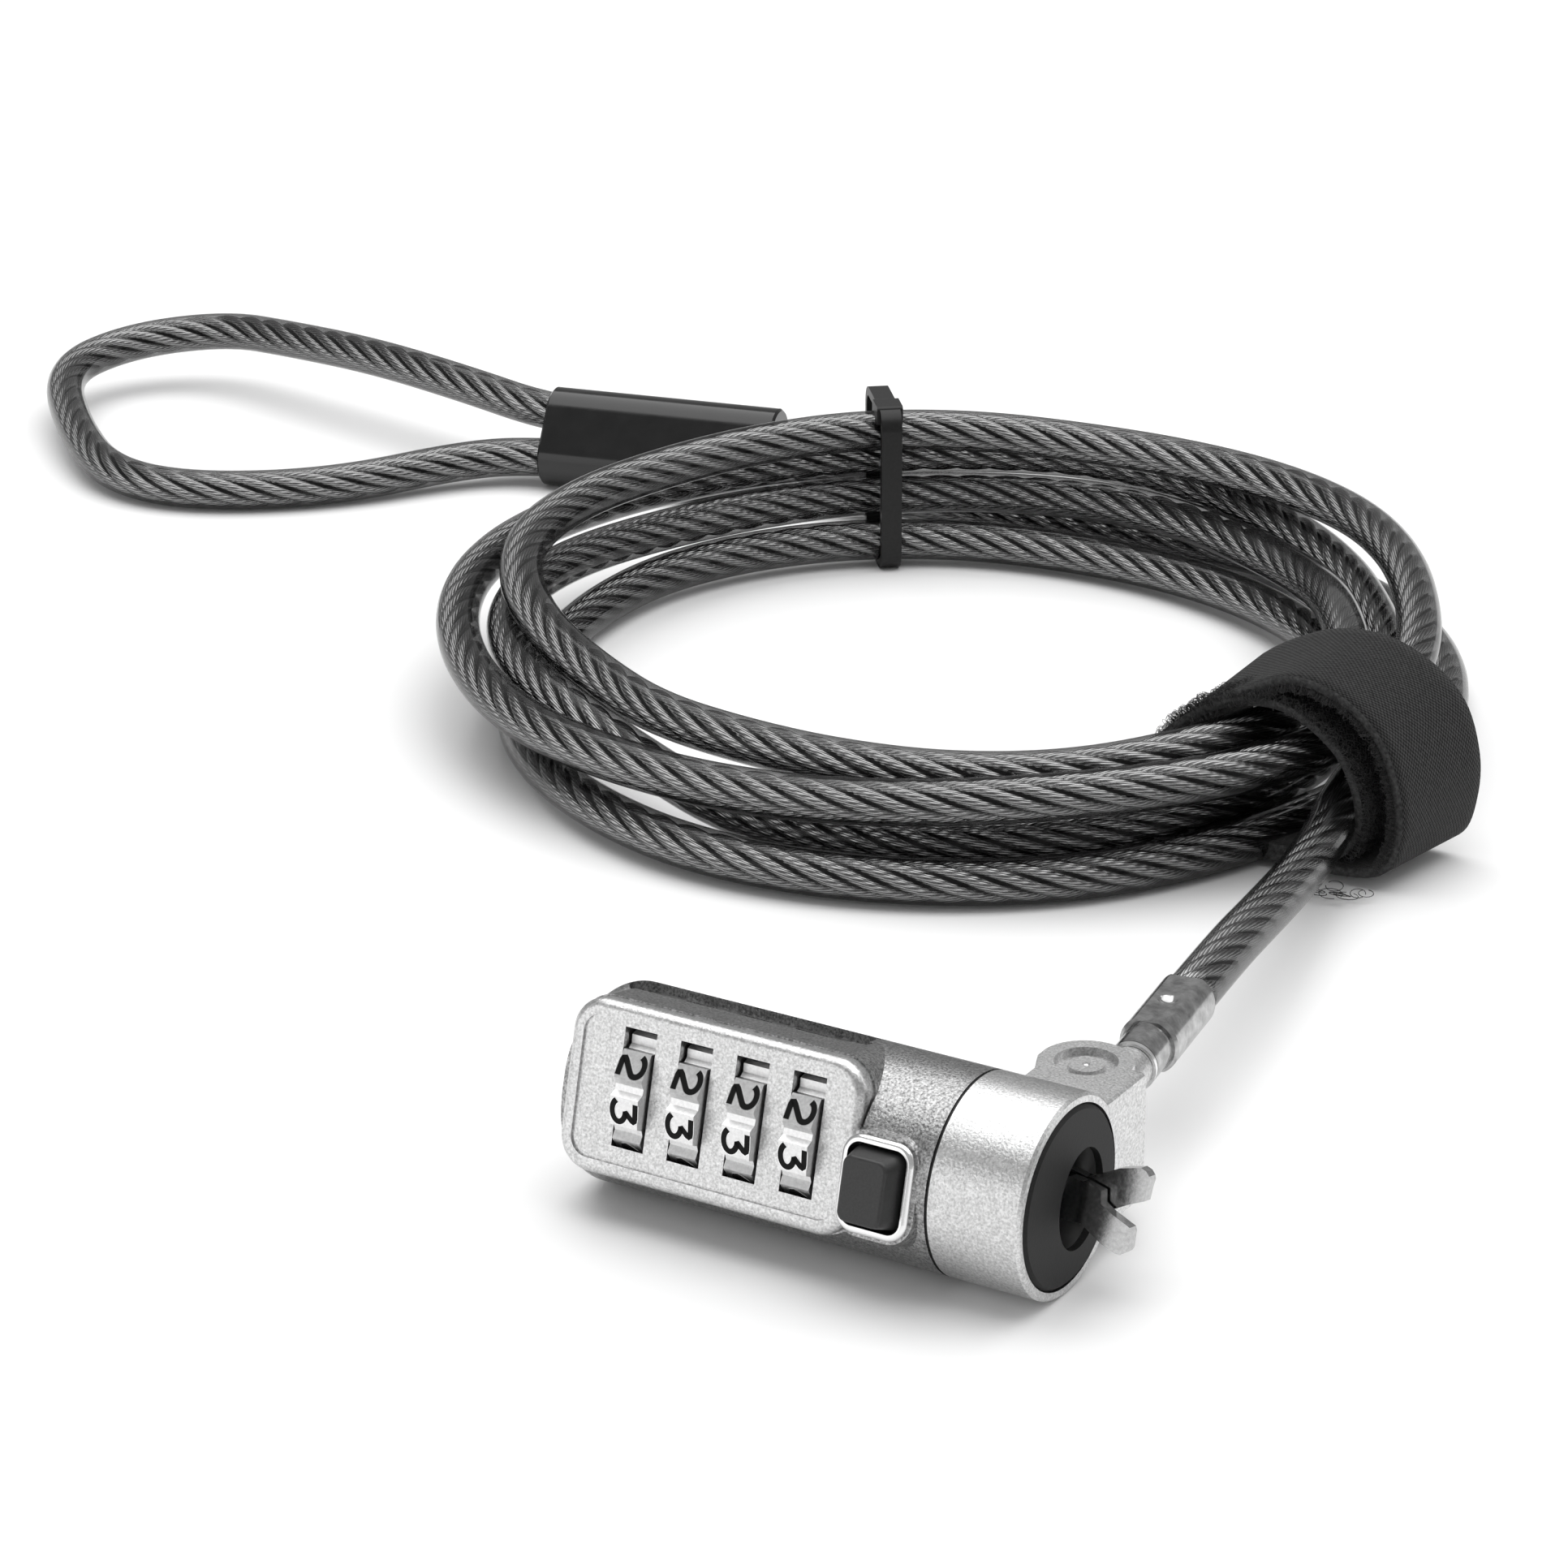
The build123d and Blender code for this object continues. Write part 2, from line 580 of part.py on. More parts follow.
def ferrule():
    """The crimped barrel that holds the cable and swivels on the stem."""
    body = rod(FERRULE_NECK_R, FERRULE_START, FERRULE_STEP)
    crimp = rod(FERRULE_R, FERRULE_STEP, FERRULE_END)
    crimp = chamfer(crimp.edges().group_by(Axis.X)[0], 0.3)
    crimp &= block(FERRULE_STEP, FERRULE_END, -5, 5, -FERRULE_FLAT, FERRULE_FLAT)
    body += crimp
    body -= rod(STEM_R + 0.1, FERRULE_START - 1, FERRULE_CAVITY[0] + 0.5)
    body -= rod(STEM_HEAD_R + 0.1, FERRULE_CAVITY[0], FERRULE_CAVITY[1])
    middle = (FERRULE_STEP + FERRULE_END) / 2
    return body - Pos(middle, 0, FERRULE_FLAT + 0.8) * Sphere(1.25)


# ---- cable ------------------------------------------------------------------
def corner_radii(points):
    """One radius for each corner: 0.45 of the shorter run over tan of half the turn."""
    radii = []
    for before, here, after in zip(points, points[1:], points[2:]):
        run_in = Vector(*here) - Vector(*before)
        run_out = Vector(*after) - Vector(*here)
        half_turn = math.radians(run_in.get_angle(run_out) / 2)
        radii.append(0.45 * min(run_in.length, run_out.length) / math.tan(half_turn))
    return radii


def cable_tube(name, points):
    """A round tube along straight runs and tangent arcs."""
    radii = corner_radii(points)
    path = FilletPolyline(*points, radius=radii)
    tube = sweep(Plane(origin=path @ 0, z_dir=path % 0) * Circle(CABLE_D / 2), path=path)
    print(name, "arc radii mm", [round(radius, 1) for radius in radii])
    section = math.pi * CABLE_D ** 2 / 4
    ratio = tube.volume / section / path.length
    print(name, "length mm", round(path.length, 1), "volume ratio", round(ratio, 4))
    return tube


def coil_outline(angle):
    """The bound coil's section at an angle, between its listed sections."""
    for low, high in zip(COIL_SECTIONS, COIL_SECTIONS[1:]):
        if low[0] <= angle <= high[0]:
            share = (angle - low[0]) / (high[0] - low[0])
            return [a + (b - a) * share for a, b in zip(low[1:], high[1:])]
    raise ValueError(angle)


def coil_section(angle):
    """A rectangle with bevelled upper corners in the radial plane at an angle."""
    inner, outer, bottom, top = coil_outline(angle)
    turn = math.radians(angle)
    plane = Plane(origin=(COIL_CENTRE[0], COIL_CENTRE[1], 0), x_dir=(math.cos(turn), math.sin(turn), 0),
                  z_dir=(math.sin(turn), -math.cos(turn), 0))
    low = 1.2
    corners = [
        (inner + low, bottom), (outer - low, bottom), (outer, bottom + low), (outer, top - COIL_BEVEL),
        (outer - COIL_BEVEL, top), (inner + COIL_BEVEL, top),
        (inner, top - COIL_BEVEL), (inner, bottom + low),
    ]
    return plane * Polygon(*corners, align=None)


def cable_coil():
    """The outer shape of the four bound turns."""
    first = COIL_SECTIONS[0][0]
    last = COIL_SECTIONS[-1][0]
    middle = (first + last) // 2
    halves = []
    for start, end in ((first, middle), (middle, last)):
        sections = [coil_section(angle) for angle in range(start, end + 1, COIL_STEP)]
        halves.append(loft(sections, ruled=True))
    return halves[0] + halves[1]


def sleeve_frame():
    """Plane at the sleeve's left end: X along its long side, Z along its axis."""
    turn = math.radians(SLEEVE_TURN)
    lean = math.radians(SLEEVE_LEAN)
    long_side = (-math.sin(turn) * math.sin(lean), math.cos(turn) * math.sin(lean), math.cos(lean))
    return Plane(origin=SLEEVE_LEFT, x_dir=long_side, z_dir=(math.cos(turn), math.sin(turn), 0))


def loop_sleeve():
    """The glossy sleeve that clamps the eye loop's two strands."""
    sleeve = extrude(sleeve_frame() * SlotCenterToCenter(SLEEVE_PITCH, 2 * SLEEVE_R), SLEEVE_LENGTH)
    return chamfer(sleeve.edges().group_by(Axis.X)[0] + sleeve.edges().group_by(Axis.X)[-1], 0.3)


def strand_point(side, along):
    """Where the upper (+1) or lower (-1) strand is, a distance along the sleeve."""
    frame = sleeve_frame()
    point = frame.origin + frame.x_dir * (side * STRAND_OFFSET) + frame.z_dir * along
    return (point.X, point.Y, point.Z)


def ferrule_mouth():
    """Where the cable leaves the ferrule."""
    turn = math.radians(90 + LINK_ANGLE)
    return (RIVET[0] + FERRULE_END * math.cos(turn), RIVET[1] + FERRULE_END * math.sin(turn), AXIS_HEIGHT)


def cable_tie():
    """The thin nylon tie round the back of the coil, with its square head."""
    inner, outer, bottom, top = TIE_INNER
    wall = TIE_THICKNESS
    turn = math.radians(TIE_ANGLE)
    plane = Plane(origin=(COIL_CENTRE[0], COIL_CENTRE[1], 0), x_dir=(math.cos(turn), math.sin(turn), 0),
                  z_dir=(math.sin(turn), -math.cos(turn), 0))
    middle = Pos((inner + outer) / 2, (bottom + top) / 2)
    width = outer - inner
    height = top - bottom
    band = middle * RectangleRounded(width + 2 * wall, height + 2 * wall, 2.5)
    band -= middle * RectangleRounded(width, height, 1.4)
    strip = extrude(plane * band, TIE_WIDTH / 2, both=True)
    head_place = Pos(inner + 2.6, top + wall - 1.0)
    head = extrude(plane * head_place * RectangleRounded(4.0, 2.4, 0.5), 1.6, both=True)
    return strip + head


def hook_loop_strap():
    """The fabric strap that binds the coil and the lead."""
    band = Polygon(*STRAP_OUTER, align=None) - Polygon(*STRAP_INNER, align=None)
    return extrude(Plane.XZ.offset(-STRAP_FRONT) * band, -STRAP_WIDTH)


# ---- assembly ---------------------------------------------------------------
def build():
    keep("body_casting", body_casting(), HEAD)
    keep("number_panel", number_panel(), HEAD)
    for index in range(WHEEL_COUNT):
        keep(f"number_wheel_{index + 1}", number_wheel(index), HEAD)
        keep(f"clutch_sleeve_{index + 1}", clutch_sleeve(index), HEAD)
    keep("wheel_spindle", rod(SPINDLE_R, SPINDLE_LEFT, SPINDLE_RIGHT, WHEEL_V, WHEEL_U), HEAD)
    keep("wheel_spacers", wheel_spacers(), HEAD)
    keep("detent_spring", detent_spring(), HEAD)
    keep("reset_screw", reset_screw(), HEAD)
    keep("button_bezel", button_bezel(), HEAD)
    keep("push_button", push_button(), HEAD)
    keep("button_spring", button_spring(), HEAD)
    keep("cam_slide", cam_slide(), HEAD)
    keep("nose_tube", nose_tube(), HEAD)
    keep("face_ring", face_ring(), HEAD)
    keep("seam_washer", ring(9.15, TUBE_R, BODY_RIGHT, BODY_RIGHT + 0.25), HEAD)
    keep("hook_pivot_pin", hook_axle(HOOK_PIN_R, 4.8), HEAD)
    keep("hook_lower", hook(HOOK_LOWER, HOOK_U + HOOK_GAP), HEAD)
    keep("hook_upper", hook(HOOK_UPPER, HOOK_U - HOOK_GAP - HOOK_THICKNESS), HEAD)
    keep("collar_ring", collar_ring(), LEVEL)
    keep("front_flange", front_flange(), LEVEL)
    keep("rivet_pin", rivet_pin(), LEVEL)
    keep("swivel_eye", swivel_eye(), LINK)
    keep("swivel_washer", swivel_washer(), LINK)
    keep("ferrule", ferrule(), LINK)
    keep("cable_lead", cable_tube("cable_lead", [ferrule_mouth()] + LEAD_ROUTE), GROUND)
    keep("cable_coil", cable_coil(), GROUND)
    keep("cable_tail", cable_tube("cable_tail", TAIL_ROUTE + [strand_point(-1, SLEEVE_LENGTH)]), GROUND)
    loop_points = [strand_point(-1, 0)] + LOOP_ROUTE + [strand_point(1, 0)]
    keep("cable_loop", cable_tube("cable_loop", loop_points), GROUND)
    keep("loop_sleeve", loop_sleeve(), GROUND)
    keep("cable_tie", cable_tie(), GROUND)
    keep("hook_loop_strap", hook_loop_strap(), GROUND)


def write():
    os.makedirs("parts", exist_ok=True)
    for name, shape in PARTS.items():
        export_step(shape, f"parts/{name}.step")


def report_box():
    """Print the box of the lock without the cable, which sets the row's origin."""
    cord = {"ferrule", "cable_lead", "cable_coil", "cable_tail", "cable_loop", "loop_sleeve",
            "cable_tie", "hook_loop_strap"}
    box = Compound(children=[shape for name, shape in PARTS.items() if name not in cord]).bounding_box()
    print("lock box", box.min, box.max, "centre", box.center())


build()
write()
report_box()
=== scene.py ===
import math
import random

import bpy
from mathutils import Matrix, Vector


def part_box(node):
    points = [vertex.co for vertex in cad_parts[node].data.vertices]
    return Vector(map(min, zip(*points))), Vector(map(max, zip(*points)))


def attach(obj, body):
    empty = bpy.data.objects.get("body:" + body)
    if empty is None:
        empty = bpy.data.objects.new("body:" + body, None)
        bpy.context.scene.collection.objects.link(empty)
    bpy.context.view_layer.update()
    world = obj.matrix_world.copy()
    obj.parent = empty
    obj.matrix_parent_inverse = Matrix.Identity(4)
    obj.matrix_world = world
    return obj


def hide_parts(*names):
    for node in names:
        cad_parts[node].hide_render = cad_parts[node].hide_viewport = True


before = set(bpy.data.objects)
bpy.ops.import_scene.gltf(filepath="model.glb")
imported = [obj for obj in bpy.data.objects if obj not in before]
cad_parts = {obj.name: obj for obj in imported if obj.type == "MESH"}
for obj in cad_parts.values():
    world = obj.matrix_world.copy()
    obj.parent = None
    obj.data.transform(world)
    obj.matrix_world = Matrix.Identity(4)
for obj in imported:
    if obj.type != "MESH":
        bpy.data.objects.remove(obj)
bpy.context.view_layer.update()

# Looks of the laptop cable lock. Lengths are millimetres in the lock's own frame: x = 0 at the
# rubber face, y = 0 on the lock's axis and z = 0 on the floor. place() turns them into metres
# in the shared frame. Lights, bumps and the floor are given in metres.

MM = 0.001


def centre(node):
    """Middle of a CAD node's box, in metres."""
    low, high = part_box(node)
    return (Vector(low) + Vector(high)) / 2


AXIS = centre("seam_washer")
FACE_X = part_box("face_ring")[1][0]
ORIGIN = Vector((FACE_X, AXIS.y, 0.0))


def place(x, y, z):
    """A point of the lock's own frame, in the shared frame's metres."""
    return ORIGIN + Vector((x, y, z)) * MM


# ---- camera -----------------------------------------------------------------
VIEW_AZIMUTH = math.radians(31.36)
VIEW_ELEVATION = math.radians(22.05)
VIEW_ROLL = math.radians(-0.2)
VIEW_TARGET = (-82.58, 88.14, 0.0)
VIEW_DISTANCE = 522.9
VIEW_LENS = 109.2
SENSOR_WIDTH = 36.0
CLIP_START = 0.01
CLIP_END = 20.0


def make_camera():
    back = Vector((
        math.sin(VIEW_AZIMUTH) * math.cos(VIEW_ELEVATION),
        -math.cos(VIEW_AZIMUTH) * math.cos(VIEW_ELEVATION),
        math.sin(VIEW_ELEVATION),
    ))
    camera = bpy.data.objects.new("camera", bpy.data.cameras.new("camera"))
    bpy.context.collection.objects.link(camera)
    turn = back.to_track_quat("Z", "Y").to_matrix().to_4x4() @ Matrix.Rotation(VIEW_ROLL, 4, "Z")
    camera.matrix_world = Matrix.Translation(place(*VIEW_TARGET) + back * VIEW_DISTANCE * MM) @ turn
    camera.data.lens = VIEW_LENS
    camera.data.sensor_width = SENSOR_WIDTH
    camera.data.clip_start = CLIP_START
    camera.data.clip_end = CLIP_END
    bpy.context.scene.camera = camera


# ---- cable route ------------------------------------------------------------
CABLE_D = 5.0
COIL_CENTRE = (-76.0, 116.0)
# Angles round the coil's centre at which each turn's radius and height are set.
STATIONS = (-17, 30, 65, 100, 128, 160, 195, 235, 252, 270, 310)
TURNS = (
    (
        (58.0, 8.0), (48.0, 9.1), (52.7, 9.9), (60.5, 11.8), (58.6, 12.5), (59.5, 11.8),
        (58.8, 11.8), (54.9, 9.3), (52.8, 9.1), (51.3, 9.0), (53.5, 11.6),
    ),
    (
        (55.5, 12.6), (51.0, 15.5), (54.0, 15.5), (55.0, 15.6), (54.5, 17.1), (52.5, 16.9),
        (52.2, 16.3), (45.5, 13.0), (45.2, 12.2), (44.9, 11.9), (48.5, 12.0),
    ),
    (
        (49.5, 14.0), (42.6, 12.7), (47.6, 8.6), (56.8, 7.8), (57.2, 7.8), (54.6, 8.1),
        (52.8, 10.0), (49.8, 10.4), (47.6, 7.8), (47.0, 4.1), (49.8, 5.0),
    ),
    (
        (47.2, 5.1), (43.8, 4.6), (46.0, 3.4), (50.2, 2.9), (53.8, 3.1), (53.4, 3.2),
        (49.6, 2.8), (52.0, 3.3), (53.6, 3.4), (55.0, 3.0), (54.2, 2.6),
    ),
    ((51.7, 2.8), (55.5, 3.2), (60.0, 2.8), (62.5, 2.7)),
)
POINTS_PER_TURN = 24
ROUTE_RESOLUTION = 12
LEAD = (
    (-11.9, 54.0, 9.2),
    (-13.9, 67.0, 8.2),
    (-16.3, 80.0, 6.9),
    (-18.9, 92.0, 6.5),
)
TAIL = (
    (-103.0, 174.2, 2.8),
    (-119.0, 171.5, 3.2),
)
LOOP = (
    (-172.0, 156.5, 3.4),
    (-181.5, 140.0, 2.6),
    (-196.0, 129.0, 2.6),
    (-209.0, 128.6, 2.8),
    (-222.0, 137.5, 4.0),
    (-237.7, 153.4, 5.5),
    (-236.7, 167.0, 6.6),
    (-226.1, 175.8, 7.8),
    (-212.5, 173.0, 9.0),
    (-197.0, 170.2, 9.8),
    (-180.0, 166.6, 9.7),
)
RIVET = (-5.8, 13.4)
LINK_ANGLE = math.radians(98.5)
FERRULE_END = 28.5
AXIS_HEIGHT = 9.3
SLEEVE_LEFT = Vector((-163.8, 163.3, 6.0))
SLEEVE_LENGTH = 31.0
SLEEVE_TURN = math.radians(12.7)
SLEEVE_LEAN = math.radians(35.0)
SLEEVE_AXIS = Vector((math.cos(SLEEVE_TURN), math.sin(SLEEVE_TURN), 0.0))
SLEEVE_SIDE = Vector((
    -math.sin(SLEEVE_TURN) * math.sin(SLEEVE_LEAN),
    math.cos(SLEEVE_TURN) * math.sin(SLEEVE_LEAN),
    math.cos(SLEEVE_LEAN),
))
STRAND_OFFSET = 2.81


def coil_point(angle, radius, height):
    turn = math.radians(angle)
    return (
        COIL_CENTRE[0] + radius * math.cos(turn),
        COIL_CENTRE[1] + radius * math.sin(turn),
        height,
    )


def smooth_between(rows, angle):
    """Radius and height at an angle, on a smooth curve through the stations."""
    last = len(rows) - 2
    index = 0
    while index < last and rows[index + 1][0] <= angle:
        index += 1
    before = rows[max(index - 1, 0)]
    low = rows[index]
    high = rows[index + 1]
    after = rows[min(index + 2, len(rows) - 1)]
    span = high[0] - low[0]
    share = (angle - low[0]) / span
    values = []
    for k in (1, 2):
        slope_low = (high[k] - before[k]) / max(high[0] - before[0], 1) * span
        slope_high = (after[k] - low[k]) / max(after[0] - low[0], 1) * span
        a = 2 * share ** 3 - 3 * share ** 2 + 1
        b = share ** 3 - 2 * share ** 2 + share
        c = 3 * share ** 2 - 2 * share ** 3
        d = share ** 3 - share ** 2
        values.append(a * low[k] + b * slope_low + c * high[k] + d * slope_high)
    return values


def coil_points():
    """The turns: a loop over the angle, with the stations' radius and height."""
    rows = []
    for turn, stations in enumerate(TURNS):
        for angle, (radius, height) in zip(STATIONS, stations):
            rows.append((angle + 360 * turn, radius, height))
    points = []
    step = 360 / POINTS_PER_TURN
    count = int((rows[-1][0] - rows[0][0]) // step)
    for index in range(count + 1):
        angle = rows[0][0] + index * step
        radius, height = smooth_between(rows, angle)
        points.append(coil_point(angle, radius, height))
    return points


def strand_point(side, along):
    """Where the sleeve's upper (+1) or lower (-1) strand is, a distance along it."""
    return tuple(SLEEVE_LEFT + SLEEVE_SIDE * side * STRAND_OFFSET + SLEEVE_AXIS * along)


def ferrule_point(along):
    return (
        RIVET[0] + along * math.cos(LINK_ANGLE),
        RIVET[1] + along * math.sin(LINK_ANGLE),
        AXIS_HEIGHT,
    )


def cable_route():
    """The whole cable's points, from the ferrule to the end inside the sleeve."""
    points = [ferrule_point(FERRULE_END)]
    points.extend(LEAD)
    points.extend(coil_points())
    points.extend(TAIL)
    points.append(strand_point(-1, SLEEVE_LENGTH))
    points.append(strand_point(-1, SLEEVE_LENGTH / 2))
    points.append(strand_point(-1, 0))
    points.extend(LOOP)
    points.append(strand_point(1, 0))
    points.append(strand_point(1, SLEEVE_LENGTH / 2))
    points.append(strand_point(1, SLEEVE_LENGTH - 2))
    return [place(*point) for point in points]


def nurbs_line(points, resolution):
    """Points read from the smooth NURBS spline that has these control points."""
    data = bpy.data.curves.new("route", "CURVE")
    data.dimensions = "3D"
    spline = data.splines.new("NURBS")
    spline.points.add(len(points) - 1)
    for slot, point in zip(spline.points, points):
        slot.co = (*point, 1.0)
    spline.order_u = 3
    spline.use_endpoint_u = True
    spline.resolution_u = resolution
    holder = bpy.data.objects.new("route", data)
    bpy.context.collection.objects.link(holder)
    bpy.context.view_layer.update()
    mesh = bpy.data.meshes.new_from_object(holder)
    line = [vertex.co.copy() for vertex in mesh.vertices]
    bpy.data.meshes.remove(mesh)
    bpy.data.objects.remove(holder)
    bpy.data.curves.remove(data)
    return line


def line_length(line):
    return sum((b - a).length for a, b in zip(line, line[1:]))


# ---- mesh helpers -----------------------------------------------------------
def new_object(name, vertices, faces, material, smooth=True):
    mesh = bpy.data.meshes.new(name)
    mesh.from_pydata([tuple(v) for v in vertices], [], faces)
    mesh.update()
    if smooth:
        mesh.shade_smooth()
    piece = bpy.data.objects.new(name, mesh)
    bpy.context.collection.objects.link(piece)
    if material is not None:
        mesh.materials.append(material)
    return piece


def frames_along(line):
    """Tangent, side and up at each point, carried along without twist."""
    frames = []
    side = None
    count = len(line)
    for index, point in enumerate(line):
        ahead = line[min(index + 1, count - 1)]
        behind = line[max(index - 1, 0)]
        tangent = (ahead - behind).normalized()
        if side is None:
            side = tangent.cross(Vector((0, 0, 1))).normalized()
        side = (side - tangent * side.dot(tangent)).normalized()
        frames.append((point, tangent, side, tangent.cross(side)))
    return frames


def tube_mesh(frames, radius, sides):
    """Rings of vertices round a line, with quads between them and capped ends."""
    vertices = []
    for point, _tangent, side, up in frames:
        for k in range(sides):
            angle = 2 * math.pi * k / sides
            vertices.append(point + (side * math.cos(angle) + up * math.sin(angle)) * radius)
    faces = []
    for ring in range(len(frames) - 1):
        for k in range(sides):
            a = ring * sides + k
            b = ring * sides + (k + 1) % sides
            faces.append((a, b, b + sides, a + sides))
    faces.append(tuple(reversed(range(sides))))
    last = (len(frames) - 1) * sides
    faces.append(tuple(range(last, last + sides)))
    return vertices, faces


def append_mesh(vertices, faces, more_vertices, more_faces):
    """Adds a mesh's vertices and faces to the lists of a bigger one."""
    offset = len(vertices)
    vertices.extend(more_vertices)
    faces.extend(tuple(v + offset for v in face) for face in more_faces)


def running_lengths(line):
    lengths = [0.0]
    for a, b in zip(line, line[1:]):
        lengths.append(lengths[-1] + (b - a).length / MM)
    return lengths


# ---- materials --------------------------------------------------------------
def new_material(name, **settings):
    """A Principled material with these socket values, and its node tree."""
    material = bpy.data.materials.new(name)
    material.use_nodes = True
    shader = material.node_tree.nodes["Principled BSDF"]
    for key, value in settings.items():
        socket = shader.inputs[key.replace("_", " ")]
        socket.default_value = (*value, 1.0) if isinstance(value, tuple) else value
    return material, material.node_tree, shader


def add_node(tree, kind, **settings):
    node = tree.nodes.new(kind)
    for key, value in settings.items():
        if hasattr(node, key):
            setattr(node, key, value)
        else:
            node.inputs[key.replace("_", " ")].default_value = value
    return node


def add_noise(tree, scale, detail=2.0, roughness=0.5):
    coordinates = add_node(tree, "ShaderNodeTexCoord")
    noise = add_node(tree, "ShaderNodeTexNoise")
    noise.inputs["Scale"].default_value = scale
    noise.inputs["Detail"].default_value = detail
    noise.inputs["Roughness"].default_value = roughness
    tree.links.new(coordinates.outputs["Object"], noise.inputs["Vector"])
    return noise


def ramp(tree, source, low, high, low_colour, high_colour):
    node = add_node(tree, "ShaderNodeValToRGB")
    node.color_ramp.elements[0].position = low
    node.color_ramp.elements[1].position = high
    node.color_ramp.elements[0].color = (*low_colour, 1.0)
    node.color_ramp.elements[1].color = (*high_colour, 1.0)
    tree.links.new(source, node.inputs["Fac"])
    return node


def spread(tree, source, low, high):
    """Maps 0..1 to low..high."""
    node = add_node(tree, "ShaderNodeMapRange")
    node.inputs["To Min"].default_value = low
    node.inputs["To Max"].default_value = high
    tree.links.new(source, node.inputs["Value"])
    return node


def add_bump(tree, shader, source, strength, distance):
    bump = add_node(tree, "ShaderNodeBump")
    bump.inputs["Strength"].default_value = strength
    bump.inputs["Distance"].default_value = distance
    tree.links.new(source, bump.inputs["Height"])
    tree.links.new(bump.outputs["Normal"], shader.inputs["Normal"])


def grey(value):
    return (value, value, value)


def drive(tree, shader, noise, tones=None, rough=None, bump=None):
    """Drives a shader with one noise: each of colour, roughness and bump that is given.

    tones is (low position, high position, dark grey, light grey), rough is (least, most) and
    bump is (strength, distance).
    """
    value = noise.outputs["Fac"]
    if tones:
        low, high, dark, light = tones
        tone = ramp(tree, value, low, high, grey(dark), grey(light))
        tree.links.new(tone.outputs["Color"], shader.inputs["Base Color"])
    if rough:
        roughness = spread(tree, value, *rough)
        tree.links.new(roughness.outputs["Result"], shader.inputs["Roughness"])
    if bump:
        add_bump(tree, shader, value, *bump)


def metal_material(name, base, roughness, grain, **driven):
    """A metal whose grain is the scale, detail and roughness of one noise."""
    material, tree, shader = new_material(name, Metallic=1.0, Base_Color=grey(base), Roughness=roughness)
    drive(tree, shader, add_noise(tree, *grain), **driven)
    return material


def satin_material(name, dark, light):
    """Bead-blasted nickel, with a sparkling fine grain between two greys."""
    material, tree, shader = new_material(name, Metallic=1.0, Base_Color=grey(light), Roughness=0.3)
    fine = add_noise(tree, 4200, 3.0, 0.6)
    broad = add_noise(tree, 260, 3.0, 0.5)
    drive(tree, shader, fine, tones=(0.32, 0.7, dark, light), bump=(0.7, 0.00006))
    drive(tree, shader, broad, rough=(0.26, 0.38))
    return material


def polished_material():
    """Polished nickel rims, with faint handling marks."""
    return metal_material("polished_nickel", 0.82, 0.14, (1600, 4.0, 0.7),
                          rough=(0.14, 0.28), bump=(0.12, 0.00003))


def wheel_material():
    """Machined, plated dials."""
    return metal_material("dial_nickel", 0.8, 0.2, (3500, 3.0, 0.6),
                          tones=(0.3, 0.75, 0.66, 0.84), rough=(0.26, 0.42), bump=(0.15, 0.00003))


def hook_material():
    """Cast and plated steel hooks."""
    return metal_material("hook_steel", 0.74, 0.25, (3000, 3.0, 0.6),
                          tones=(0.28, 0.7, 0.34, 0.5), rough=(0.1, 0.24), bump=(0.2, 0.00002))


def ferrule_material():
    """Crimped steel with tool marks."""
    return metal_material("ferrule_steel", 0.5, 0.3, (700, 4.0, 0.6),
                          tones=(0.35, 0.65, 0.26, 0.5), rough=(0.1, 0.26), bump=(0.2, 0.00005))


def steel_material():
    """Plain inner steel."""
    return metal_material("inner_steel", 0.3, 0.4, (1800, 3.0, 0.6), rough=(0.3, 0.5))


def plastic_material(name, base, roughness, grain, depth, specular=0.5):
    """Moulded plastic or rubber with a fine texture."""
    material, tree, shader = new_material(
        name, Base_Color=grey(base), Roughness=roughness, Specular_IOR_Level=specular)
    drive(tree, shader, add_noise(tree, grain, 3.0, 0.6), tones=(0.3, 0.75, base * 0.75, base * 1.4),
          rough=(roughness - 0.06, roughness + 0.08), bump=(0.3, depth))
    return material


def digit_material():
    """Black filling of the engraved digits."""
    material, tree, shader = new_material(
        "digit_black", Base_Color=grey(0.004), Roughness=0.6, Specular_IOR_Level=0.15)
    drive(tree, shader, add_noise(tree, 3000, 2.0, 0.5), bump=(0.2, 0.00002))
    return material


def jacket_material():
    """Smoke coloured, clear and glossy cable jacket."""
    material, tree, shader = new_material(
        "cable_jacket", Base_Color=grey(0.004), Roughness=0.12, IOR=1.45, Alpha=0.5)
    drive(tree, shader, add_noise(tree, 120, 2.0, 0.5), rough=(0.07, 0.16))
    edge = add_node(tree, "ShaderNodeLayerWeight")
    edge.inputs["Blend"].default_value = 0.35
    cover = spread(tree, edge.outputs["Facing"], 0.36, 0.97)
    tree.links.new(cover.outputs["Result"], shader.inputs["Alpha"])
    return material


